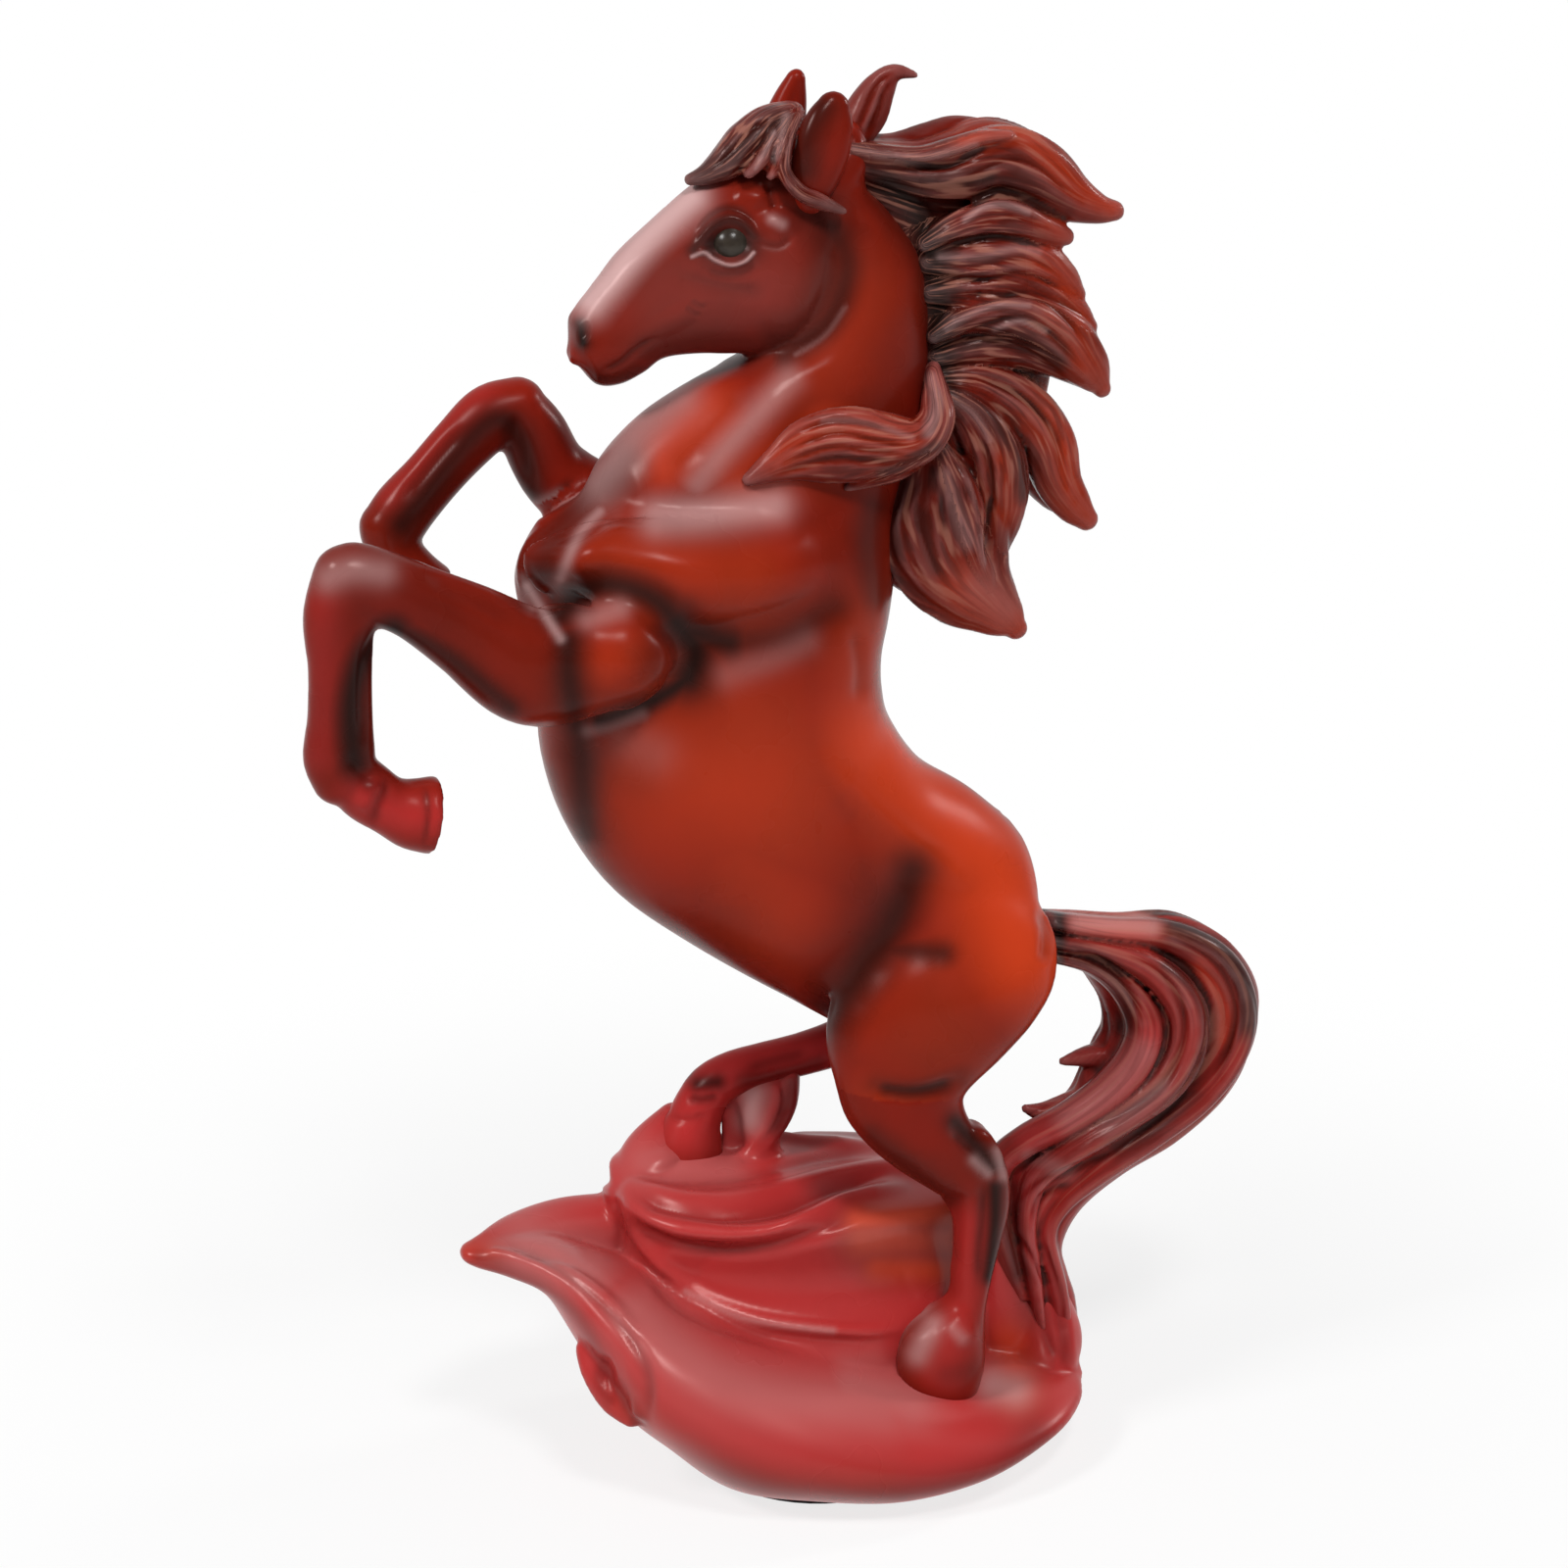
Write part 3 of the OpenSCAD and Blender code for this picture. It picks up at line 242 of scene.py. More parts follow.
TUFT = [
    (-2, 2, 260, 4, 5), (1.2, 4, 267.3, 4, 4.2), (4.4, 4, 272.4, 3.6, 4.6), (7.1, 4, 277.1, 2.8, 3.6),
    (10.3, 4, 280, 1.8, 1.9), (14.6, 4, 279.3, 0.8, 0.8)]
MANE_ROOT = [
    (2, 0, 262, 3.6, 4), (9, 0, 256, 4.5, 6), (14, 0, 246, 4.5, 7), (17.5, 0, 234, 5, 7), (19, 0, 221, 5.9, 7),
    (18, -1, 208, 6.8, 7), (17, -1, 196, 7.2, 6)]
TAIL_WISPS = [
    [(70, -3, 67, 4.8, 5), (62.4, -3, 64.2, 4.2, 3.6), (55.4, -2, 63.8, 2.9, 2.4), (49.4, -2, 63.4, 0.9, 1)],
    [(62, -4, 54, 4.8, 5), (52.6, -4, 53.4, 4.2, 3.6), (45, -4, 52.7, 2.9, 2.4), (40, -4, 54.4, 0.9, 1)]]
LEAF_BACK = [(-80, 9, 33.5, 2, 2), (-70, 14, 33.5, 5, 3), (-58, 17, 32, 7, 5), (-44, 18, 28, 8, 8)]
SCROLL_RIM = [
    (-78, 4, 34, 1.2, 1.2), (-72, 0, 33, 1.8, 1.8), (-64.5, -7.5, 31.5, 2.4, 2.4), (-58.5, -15, 27.5, 2.8, 2.8),
    (-54.5, -21.5, 22, 3, 3), (-53, -24.5, 14.5, 3, 3), (-53.5, -24, 7, 2.4, 2.4)]
SCROLL_HEART = [(-61.5, -11, 16.5, 2, 3), (-60, -14.5, 12, 2.6, 3.8), (-57.5, -18.5, 7, 2.6, 3.6),
                (-54.5, -21.5, 3, 1.6, 2)]
STEP_BULGE = [(-42, 14, 36, 9, 8), (-38, 20, 43, 7, 7), (-31, 24, 49, 4, 5)]
# Web of the wave, drawn like the locks: its thin lit face and its right side; then the pocket under the tail
CREST_RIBBONS = [
    [(762, 1098, 20, 37, 1.4), (761, 1120, 20, 35, 1.3), (759, 1138, 20, 30, 1.3), (754, 1155, 20, 23, 1.4),
     (749, 1172, 19.5, 16, 1.6), (746, 1186, 19, 11, 1.6)],
    [(805, 1096, 18, 12, 3), (803, 1122, 18, 12, 3), (795, 1144, 17, 10, 3), (780, 1164, 16, 9, 3),
     (764, 1180, 15, 7, 2.6)],
    [(1034, 1270, -9, 30, 3), (1038, 1310, -9, 40, 3), (1044, 1352, -9, 46, 3.4), (1052, 1392, -9, 46, 4)]]
WAVE_CREST = [(-13.5, 15, 37, 4.6, 5), (-13.5, 17, 45, 3.2, 4), (-13.5, 18, 53, 2.8, 5.4),
              (-13.5, 19.5, 60, 3.4, 8.4)]
TAIL_SKIRT = [
    (42.5, -9, -4.5, 11, 8), (44.2, -9, 0, 9, 8.2), (43.4, -8.5, 6, 6, 7.4), (41.5, -8, 14, 4, 6), (39, -8, 22, 3, 4)]
# Step of the plinth: half length, half width and height of its rings, from the ground up
STEP_RINGS = [
    (44.3, 29, 0), (43.9, 28, 12), (42.4, 25.4, 20), (41.6, 24.4, 27), (42, 24.4, 32), (42.6, 24.8, 36),
    (41.3, 23.8, 39.5), (35, 19.5, 41), (20, 11, 41.5), (4, 3, 41.5)]
STEP_MIDDLE = (-6, 7)
STEP_LEAN = -0.08

# Locks drawn in the photo: pixel, y in mm, half width in pixels, half thickness in mm
MANE_RIBBONS = [
    [(860, 160, -2, 15, 4), (910, 170, -3, 22, 4.5), (950, 176, -4, 26, 5), (985, 172, -4, 32, 5.5),
     (1022, 165, -4, 38, 5.5), (1060, 179, -4, 36, 5), (1094, 202, -4, 25, 4), (1120, 213, -4, 16, 3.2),
     (1136, 215, -4, 11, 2.6)],
    [(858, 150, -4, 9, 3), (900, 157, -6, 10, 3), (938, 158, -7.5, 9, 3), (972, 149, -8, 9, 3),
     (1002, 140, -8, 8, 2.6), (1030, 138, -7, 5, 1.6)],
    [(945, 248, -5, 9, 2.6), (972, 234, -7.5, 15, 3), (1000, 225, -8, 19, 3.2), (1030, 224, -7.5, 22, 3.4),
     (1058, 231, -6.5, 21, 3.2), (1076, 238, -5.5, 16, 2.8), (1086, 241, -5, 10, 2.2)],
    [(948, 266, -4, 15, 3), (985, 263, -6, 24, 3.8), (1020, 262, -7, 28, 4.2), (1055, 269, -6.5, 28, 4),
     (1082, 285, -5.5, 20, 3.4), (1097, 300, -5, 11, 2.4)],
    [(950, 298, -4, 13, 3), (990, 294, -5.5, 22, 3.8), (1030, 292, -6, 27, 4.4), (1066, 302, -6, 26, 4.2),
     (1094, 320, -5, 19, 3.4), (1110, 333, -4.5, 10, 2.2)],
    [(952, 342, -5, 8, 2.8), (980, 326, -7, 16, 3.6), (1015, 318, -8.5, 24, 4.4), (1050, 323, -8.5, 30, 4.6),
     (1085, 345, -7, 31, 4.2), (1108, 371, -6, 25, 3.6), (1119, 388, -5, 16, 2.8), (1124, 396, -5, 10, 2.2)],
    [(955, 362, -3, 14, 4), (1000, 350, -4, 22, 4.6), (1045, 354, -4, 22, 4.4), (1080, 371, -4, 16, 3.4),
     (1106, 388, -4, 9, 2.2)],
    [(958, 388, -4, 12, 3.5), (1000, 392, -5, 22, 4.4), (1040, 416, -5, 31, 4.6), (1066, 452, -5, 33, 4.6),
     (1080, 492, -5, 26, 4), (1096, 516, -5, 20, 3.2), (1108, 529, -5, 13, 2.6)],
    [(962, 402, -7, 12, 2.8), (992, 422, -8.5, 24, 3.8), (1014, 458, -9, 30, 4.4), (1022, 498, -9, 30, 4.2),
     (1022, 532, -8, 22, 3.6), (1020, 556, -7.5, 11, 2.6)],
    [(952, 455, -5, 18, 4), (956, 490, -7.5, 42, 5), (962, 530, -9, 66, 5.6), (972, 566, -9.5, 66, 5.6),
     (990, 596, -9, 52, 5), (1012, 618, -8.5, 34, 4), (1028, 632, -8, 22, 3.2), (1036, 640, -8, 13, 2.6)],
    [(960, 462, -9, 12, 3), (974, 500, -12, 23, 3.6), (987, 538, -13, 23, 3.6), (999, 574, -12.5, 15, 3),
     (1010, 600, -11, 7, 2)]]
# How many of them, from the first, the far side has too
MANE_FAR = 10
# Strokes in photo pixels: kind, width, depth in mm, black wash that is partly painted shade, points
MANE_STROKES = [
    ("groove", 4, 1.0, 0.7, [(893, 163), (935, 170), (968, 170), (990, 160), (1008, 150)]),
    ("groove", 4, 0.7, 0.5, [(985, 182), (1008, 170), (1035, 162), (1060, 170), (1085, 190), (1110, 208)]),
    ("groove", 5, 1.0, 0.8, [(980, 216), (1000, 202), (1022, 194), (1050, 203), (1078, 220), (1095, 228)]),
    ("ridge", 4, 0.6, 0.0, [(985, 224), (1003, 212), (1025, 209), (1050, 216), (1070, 228)]),
    ("groove", 4, 0.8, 0.5, [(950, 255), (985, 246), (1020, 242), (1050, 248), (1072, 254)]),
    ("groove", 3.5, 0.6, 0.45, [(965, 268), (1000, 272), (1035, 264), (1065, 270), (1090, 288)]),
    ("groove", 3.5, 0.6, 0.45, [(965, 284), (1005, 286), (1045, 280), (1078, 292), (1098, 308)]),
    ("groove", 3.5, 0.6, 0.45, [(968, 300), (1010, 300), (1050, 296), (1085, 310), (1108, 328)]),
    ("groove", 4, 0.8, 0.6, [(968, 318), (1000, 309), (1035, 300), (1065, 306), (1092, 328), (1115, 360)]),
    ("ridge", 4, 0.6, 0.0, [(966, 336), (992, 320), (1022, 311), (1050, 312), (1076, 328)]),
    ("groove", 5, 1.0, 0.8, [(975, 346), (1005, 334), (1035, 326), (1062, 334), (1085, 352), (1108, 382)]),
    ("ridge", 3.5, 0.5, 0.0, [(1015, 336), (1042, 328), (1066, 338)]),
    ("groove", 4, 0.8, 0.6, [(985, 385), (1020, 392), (1050, 408), (1078, 440), (1088, 480)]),
    ("groove", 4, 0.7, 0.5, [(985, 400), (1015, 416), (1040, 448), (1050, 490), (1052, 520)]),
    ("groove", 4, 0.6, 0.4, [(1010, 392), (1042, 406), (1068, 432), (1082, 470), (1090, 505)]),
    ("groove", 5, 1.1, 0.7, [(985, 430), (1004, 458), (1012, 500), (1010, 545), (1008, 590)]),
    ("ridge", 4, 0.7, 0.0, [(978, 470), (992, 510), (998, 552), (1007, 592)]),
    ("groove", 3.5, 0.5, 0.4, [(948, 478), (940, 520), (952, 565), (975, 605)]),
    ("groove", 3.5, 0.5, 0.4, [(935, 490), (922, 530), (930, 570), (950, 605)]),
    ("groove", 3.5, 0.5, 0.4, [(920, 500), (906, 540), (912, 580)]),
    ("groove", 3.5, 0.5, 0.35, [(962, 480), (960, 525), (975, 570), (998, 605)])]
FACE_RIBBONS = [
    [(806, 112, -1, 9, 4), (782, 123, -3, 15, 4.6), (764, 143, -4, 21, 5), (746, 161, -4, 19, 4.6),
     (722, 177, -3, 11, 3.2), (704, 183, -2, 6, 1.8)],
    [(806, 118, -3, 5, 3), (790, 138, -7, 9, 3), (777, 160, -9, 9, 2.8), (764, 176, -9, 6, 2)],
    [(812, 118, -4, 5, 2.6), (802, 140, -8.5, 7, 2.4), (794, 162, -10, 6, 2.2), (786, 180, -10.5, 4, 1.4)],
    [(808, 126, -6, 4, 2.4), (801, 150, -10, 6, 2.4), (800, 174, -11, 7, 2.4), (815, 195, -11.5, 8, 2.4),
     (838, 206, -11.5, 8, 2.2), (860, 215, -10.5, 4, 1.4)],
    [(950, 380, -5, 9, 3.4), (954, 402, -9, 13, 4), (955, 428, -14, 18, 4.6), (938, 450, -17, 24, 4.8),
     (904, 455, -17.5, 34, 4.8), (862, 454, -17.5, 39, 4.6), (822, 460, -17, 33, 3.8), (790, 475, -17, 18, 2.8),
     (764, 489, -16.5, 7, 1.8)],
    [(945, 462, -15, 7, 3), (915, 480, -16.5, 10, 3.2), (888, 490, -16.5, 7, 2.4), (864, 498, -16, 3.5, 1.4)]]
FACE_HAIR_STROKES = [
    ("groove", 3.5, 0.6, 0.5, [(788, 121), (766, 132), (748, 152), (728, 172)]),
    ("groove", 3.5, 0.5, 0.5, [(790, 132), (775, 146), (762, 166), (745, 182)]),
    ("groove", 3, 0.5, 0.5, [(802, 120), (792, 145), (790, 165), (802, 190)]),
    ("groove", 3, 0.5, 0.5, [(808, 122), (800, 148), (800, 170), (816, 192), (845, 205)]),
    ("groove", 3.5, 0.6, 0.5, [(945, 452), (900, 438), (850, 430), (815, 442)]),
    ("groove", 3.5, 0.6, 0.5, [(942, 459), (895, 449), (850, 442), (805, 460)]),
    ("groove", 3.5, 0.6, 0.5, [(936, 466), (890, 460), (845, 457), (795, 476)]),
    ("groove", 3.5, 0.6, 0.5, [(930, 473), (885, 470), (840, 470), (785, 488)]),
    ("groove", 3.5, 0.6, 0.5, [(955, 388), (961, 414), (952, 440), (930, 450)]),
    ("groove", 3.5, 0.5, 0.4, [(946, 392), (950, 416), (942, 436)]),
    ("groove", 3.5, 0.5, 0.4, [(872, 140), (884, 110), (896, 86), (915, 72)]),
    ("groove", 3.5, 0.5, 0.4, [(882, 142), (895, 116), (903, 92), (918, 76)])]
TAIL_STROKES = [
    ("groove", 5, 1.0, 0.7, [(1096, 972), (1130, 985), (1155, 1010), (1166, 1045)]),
    ("groove", 5, 1.0, 0.6, [(1146, 974), (1184, 990), (1205, 1025), (1205, 1066), (1184, 1108), (1146, 1136),
                             (1111, 1150)]),
    ("groove", 5, 1.0, 0.7, [(1170, 966), (1212, 990), (1233, 1025), (1233, 1066), (1212, 1111), (1177, 1146),
                             (1139, 1167)]),
    ("groove", 5, 0.9, 0.7, [(1198, 955), (1240, 983), (1260, 1021), (1254, 1066), (1235, 1100)]),
    ("groove", 4, 0.7, 0.4, [(1035, 1229), (1060, 1205), (1101, 1190), (1140, 1172)]),
    ("groove", 4, 0.7, 0.4, [(1050, 1250), (1062, 1222), (1095, 1206)]),
    ("groove", 4, 0.7, 0.4, [(1032, 1254), (1046, 1275), (1059, 1292), (1070, 1312)]),
    ("groove", 4, 0.6, 0.4, [(1062, 1262), (1072, 1290), (1084, 1325), (1086, 1365)])]
# Ears, as limbs
NEAR_EAR = [
    (-11.5, -8, 258, 2.8, 3.4), (-10.7, -9.2, 263, 4, 5), (-9.2, -10, 269, 4.2, 5.6), (-7.8, -9.8, 274, 3.6, 4.8),
    (-6.8, -9.4, 277, 2.4, 3.2)]
FAR_EAR = [
    (-12, 8, 258, 3.2, 3.4), (-11.8, 9.2, 264, 4.2, 4.4), (-10.8, 9.6, 270, 4.2, 4.4), (-9.6, 9.4, 275, 3.4, 3.4),
    (-8.6, 9, 279, 2, 2)]
# Locks of the tail, drawn in the photo like the mane's
TAIL_RIBBONS = [
    [(1072, 938, -3, 8, 3.5), (1130, 948, -4, 13, 4.5), (1195, 956, -5, 18, 5), (1242, 984, -6, 22, 5.4),
     (1262, 1026, -7, 22, 5.6), (1254, 1070, -8, 22, 5.6), (1222, 1114, -8.5, 22, 5.4), (1172, 1154, -9.5, 20, 5),
     (1118, 1192, -10.5, 18, 4.6), (1080, 1226, -11.5, 14, 4), (1066, 1260, -12, 12, 3.6), (1078, 1310, -12, 11, 3.4),
     (1085, 1350, -11.5, 9, 3), (1087, 1378, -11, 6, 2.4)],
    [(1074, 958, -5, 8, 3.5), (1125, 968, -7, 13, 4.2), (1175, 988, -9, 18, 4.6), (1208, 1024, -10, 22, 5),
     (1212, 1064, -11, 23, 5), (1190, 1104, -12, 22, 5), (1144, 1140, -13, 19, 4.8), (1094, 1172, -14, 16, 4.4),
     (1056, 1204, -14, 13, 4), (1046, 1250, -14, 11, 3.6), (1052, 1292, -13.5, 10, 3.4), (1058, 1328, -13, 7, 2.8),
     (1063, 1358, -12, 4, 2)],
    [(1074, 975, -4, 7, 3.5), (1112, 984, -6, 10, 4), (1146, 1008, -8, 15, 4.6), (1166, 1044, -9, 20, 5),
     (1158, 1080, -10, 21, 5), (1130, 1112, -11, 20, 4.8), (1088, 1142, -12, 18, 4.4), (1046, 1164, -11.5, 17, 4),
     (1018, 1190, -11, 16, 3.6), (1016, 1236, -11, 14, 3.2), (1030, 1286, -11, 12, 3), (1042, 1320, -10.5, 7, 2.6)]]
# Brush marks in photo pixels: paint, width, strength, points. Wash marks are largely painted shade and dust marks
# largely painted highlights
# Mane paint: the wash marks darken the roots and, as painted shade, the hollows under the overlapping locks; the thin
# dust lines are painted highlights along the locks' ridges
MANE_PAINT = [
    (WASH_AND_SHADE, 34, 1.0, [(905, 190), (935, 215), (952, 265), (958, 330), (960, 385), (952, 440)]),
    (WASH_AND_SHADE, 14, 0.85, [(890, 176), (930, 186), (975, 188), (1010, 182)]),
    (WASH_AND_SHADE, 14, 0.55, [(1010, 182), (1050, 188), (1090, 215)]),
    (WASH_AND_SHADE, 16, 0.8, [(975, 356), (1015, 345), (1050, 350), (1080, 368)]),
    (WASH_AND_SHADE, 14, 0.35, [(985, 300), (1020, 292), (1060, 290)]),
    (WASH_AND_SHADE, 16, 0.7, [(965, 400), (1000, 420), (1035, 460), (1045, 505)]),
    (WASH_AND_SHADE, 22, 0.75, [(925, 495), (905, 540), (905, 590)]), (WASH_AND_SHADE, 12, 0.6, [(952, 480), (940, 530), (955, 580)]),
    (EMBER, 16, 0.6, [(985, 145), (1020, 134), (1050, 140), (1090, 180), (1135, 212)]),
    (EMBER, 14, 0.45, [(1070, 225), (1088, 240)]), (EMBER, 20, 0.5, [(1060, 265), (1090, 290), (1105, 330)]),
    (EMBER, 22, 0.5, [(1075, 330), (1105, 365), (1124, 395)]),
    (EMBER, 24, 0.55, [(1065, 415), (1088, 460), (1095, 510), (1112, 532)]),
    (EMBER, 18, 0.45, [(1022, 470), (1028, 520)]), (EMBER, 28, 0.6, [(985, 600), (1015, 625), (1038, 640)]),
    (DUST_AND_HIGHLIGHT, 22, 0.16, [(1000, 600), (1026, 622)]),
    (DUST_AND_HIGHLIGHT, 5, 0.36, [(872, 152), (905, 159), (940, 162), (972, 155), (995, 148)]),
    (DUST_AND_HIGHLIGHT, 4, 0.43, [(985, 224), (1003, 212), (1025, 209), (1050, 216)]),
    (DUST_AND_HIGHLIGHT, 5, 0.29, [(960, 262), (1000, 262), (1035, 254), (1060, 258)]),
    (DUST_AND_HIGHLIGHT, 4, 0.36, [(966, 336), (992, 320), (1022, 311), (1050, 312)]),
    (DUST_AND_HIGHLIGHT, 3, 0.36, [(1015, 336), (1042, 328), (1066, 338)]), (DUST_AND_HIGHLIGHT, 10, 0.29, [(964, 485), (975, 520), (988, 552)]),
    (DUST_AND_HIGHLIGHT, 4, 0.29, [(970, 405), (995, 425), (1010, 450)])]
# Forelock and neck lock paint: the wash marks darken the forelock and, as painted shade, the hollows under the neck
# lock; the dust marks are painted highlights on their strands
FACE_HAIR_PAINT = [
    (WASH_AND_SHADE, 24, 0.85, [(792, 124), (764, 144), (744, 162), (712, 181)]),
    (DUST_AND_HIGHLIGHT, 5, 0.36, [(802, 118), (797, 140), (791, 160)]),
    (WASH_AND_SHADE, 9, 0.55, [(806, 126), (801, 160), (815, 194), (856, 213)]),
    (DUST_AND_HIGHLIGHT, 3, 0.43, [(790, 135), (778, 160), (771, 172)]), (DUST_AND_HIGHLIGHT, 8, 0.36, [(950, 385), (956, 412), (948, 440)]),
    (EMBER, 24, 0.35, [(920, 445), (850, 438), (800, 465)]), (WASH_AND_SHADE, 8, 0.7, [(955, 455), (925, 472), (900, 482)]),
    (DUST_AND_HIGHLIGHT, 4, 0.25, [(930, 446), (880, 430), (840, 428)]), (WASH_AND_SHADE, 8, 0.7, [(868, 150), (890, 146)])]
# Tail paint: the wash marks are painted shade along its outer edge and between its rolls, and the dust marks painted
# highlights on the top of its bend and its middle rolls
TAIL_PAINT = [
    (WASH_AND_SHADE, 11, 1.0, [(1080, 926), (1081, 955), (1080, 986)]),
    (WASH_AND_SHADE, 22, 0.9, [(1200, 945), (1245, 965), (1272, 1005), (1276, 1045)]),
    (WASH_AND_SHADE, 14, 0.8, [(1095, 975), (1130, 990), (1150, 1020), (1148, 1045)]),
    (WASH_AND_SHADE, 9, 0.75, [(1190, 985), (1225, 1015), (1234, 1060), (1218, 1105)]),
    (WASH_AND_SHADE, 12, 0.7, [(1215, 1115), (1180, 1150), (1140, 1170)]),
    (WASH_AND_SHADE, 12, 0.75, [(1030, 1210), (1032, 1255), (1040, 1300)]),
    (EMBER, 14, 0.9, [(1100, 942), (1145, 944), (1180, 946)]),
    (EMBER, 10, 0.6, [(1225, 985), (1250, 1020), (1250, 1060)]),
    (ROSE, 24, 0.8, [(1175, 1060), (1140, 1110), (1090, 1140), (1050, 1160)]),
    (ROSE, 30, 0.8, [(1040, 1200), (1060, 1280), (1085, 1360)]),
    (DUST_AND_HIGHLIGHT, 11, 0.5, [(1100, 942), (1145, 944), (1175, 946)]),
    (DUST_AND_HIGHLIGHT, 18, 0.3, [(1165, 1075), (1130, 1115), (1090, 1140)]), (DUST_AND_HIGHLIGHT, 10, 0.25, [(1088, 1195), (1050, 1180)]),
    (DUST_AND_HIGHLIGHT, 14, 0.28, [(1185, 1112), (1160, 1132), (1130, 1150)])]
PLINTH_STROKES = [
    ("ridge", 7, 1.4, 0.0, [(634, 1196), (655, 1210), (690, 1220), (738, 1222), (788, 1214), (850, 1198), (912, 1190),
                            (966, 1204)]),
    ("ridge", 7, 1.5, 0.0, [(634, 1222), (655, 1240), (690, 1255), (728, 1261), (780, 1257), (824, 1242), (868, 1221),
                            (930, 1209)]),
    ("groove", 7, 1.6, 0.35, [(640, 1210), (670, 1230), (732, 1241), (792, 1235), (852, 1212), (905, 1202)]),
    ("groove", 8, 1.4, 0.3, [(640, 1240), (670, 1262), (730, 1278), (790, 1272), (840, 1254), (880, 1232)]),
    ("groove", 5, 0.7, 0.2, [(650, 1200), (700, 1205), (760, 1200), (830, 1184), (890, 1176)]),
    ("groove", 34, 2.4, 0.0, [(680, 1285), (740, 1308), (820, 1318), (900, 1310), (960, 1290)]),
    ("ridge", 6, 1.5, 0.0, [(633, 1226), (646, 1254), (673, 1290), (711, 1322), (763, 1344), (822, 1355), (882, 1359),
                            (928, 1355)]),
    ("groove", 8, 0.9, 0.15, [(655, 1290), (695, 1330), (755, 1358), (822, 1368), (890, 1372)]),
    ("groove", 5, 0.9, 0.35, [(514, 1267), (540, 1277), (563, 1289), (609, 1327), (642, 1362), (658, 1390),
                              (663, 1416), (661, 1456)]),
    ("ridge", 9, 0.5, 0.0, [(520, 1282), (560, 1302), (595, 1330), (622, 1358), (642, 1388), (648, 1425)]),
    ("groove", 5, 0.9, 0.3, [(1052, 1300), (1058, 1330), (1066, 1358), (1078, 1390)]),
    ("groove", 5, 0.8, 0.25, [(1066, 1280), (1076, 1320), (1084, 1360), (1088, 1400)]),
    ("ridge", 6, 0.8, 0.0, [(1072, 1262), (1082, 1310), (1090, 1360), (1094, 1400)]),
    ("ridge", 4, 1.0, 0.0, [(794, 1102), (793, 1128), (783, 1150), (766, 1171), (746, 1188)])]
# Strokes of the step's wall, which its back has too
STEP_STROKES = (1, 3, 5, 6)
# Lumps in photo pixels: middle, half axes, turn in degrees, height in mm
PLINTH_LUMPS = [((619, 1402), (11, 24), -10, -1.4), ((962, 1434), (64, 20), 0, 0.8), ((706, 1184), (56, 20), 0, 2.2)]
# Plinth paint: besides the brown patch on the step and the ember leaf tip, dust and ember marks are painted highlights
# on the ground, the leaf and the web, and wash marks are painted shade along its creases, in the pocket under the tail
# and towards the bottom
PLINTH_PAINT = [
    (EMBER, 20, 1.0, [(876, 1246), (966, 1242)]), (EMBER, 24, 1.0, [(880, 1266), (966, 1264)]),
    (EMBER, 20, 0.9, [(896, 1292), (962, 1294)]), (WASH_AND_SHADE, 34, 0.22, [(880, 1266), (960, 1266)]),
    (DUST_AND_HIGHLIGHT, 30, 0.12, [(880, 1262), (950, 1262)]),
    (EMBER, 30, 0.3, [(640, 1440), (700, 1490), (800, 1520), (900, 1520)]),
    (WASH_AND_SHADE, 9, 0.35, [(490, 1284), (545, 1310), (590, 1345), (620, 1400), (655, 1455)]),
    (WASH_AND_SHADE, 26, 0.5, [(690, 1500), (850, 1538), (1000, 1512), (1060, 1470)]),
    (DUST_AND_HIGHLIGHT, 36, 0.26, [(650, 1340), (720, 1400), (800, 1425), (900, 1430)]),
    (DUST_AND_HIGHLIGHT, 36, 0.3, [(540, 1270), (600, 1290)]), (DUST_AND_HIGHLIGHT, 26, 0.2, [(660, 1185), (740, 1190)]),
    (EMBER, 30, 0.7, [(1030, 1370), (1040, 1420)]), (WASH_AND_SHADE, 16, 0.4, [(1040, 1300), (1056, 1345)]),
    (EMBER, 20, 0.5, [(478, 1274), (500, 1276)]), (DUST_AND_HIGHLIGHT, 20, 0.62, [(1014, 1412), (1036, 1418)]),
    (DUST_AND_HIGHLIGHT, 30, 0.3, [(868, 1414), (930, 1428)]), (WASH_AND_SHADE, 8, 0.35, [(614, 1385), (612, 1410), (622, 1428)]),
    (DUST_AND_HIGHLIGHT, 15, 0.75, [(768, 1118), (764, 1142)]), (WASH_AND_SHADE, 9, 0.55, [(806, 1104), (803, 1128), (793, 1150)]),
    (DUST_AND_HIGHLIGHT, 4, 0.35, [(700, 1318), (763, 1346), (850, 1358)])]
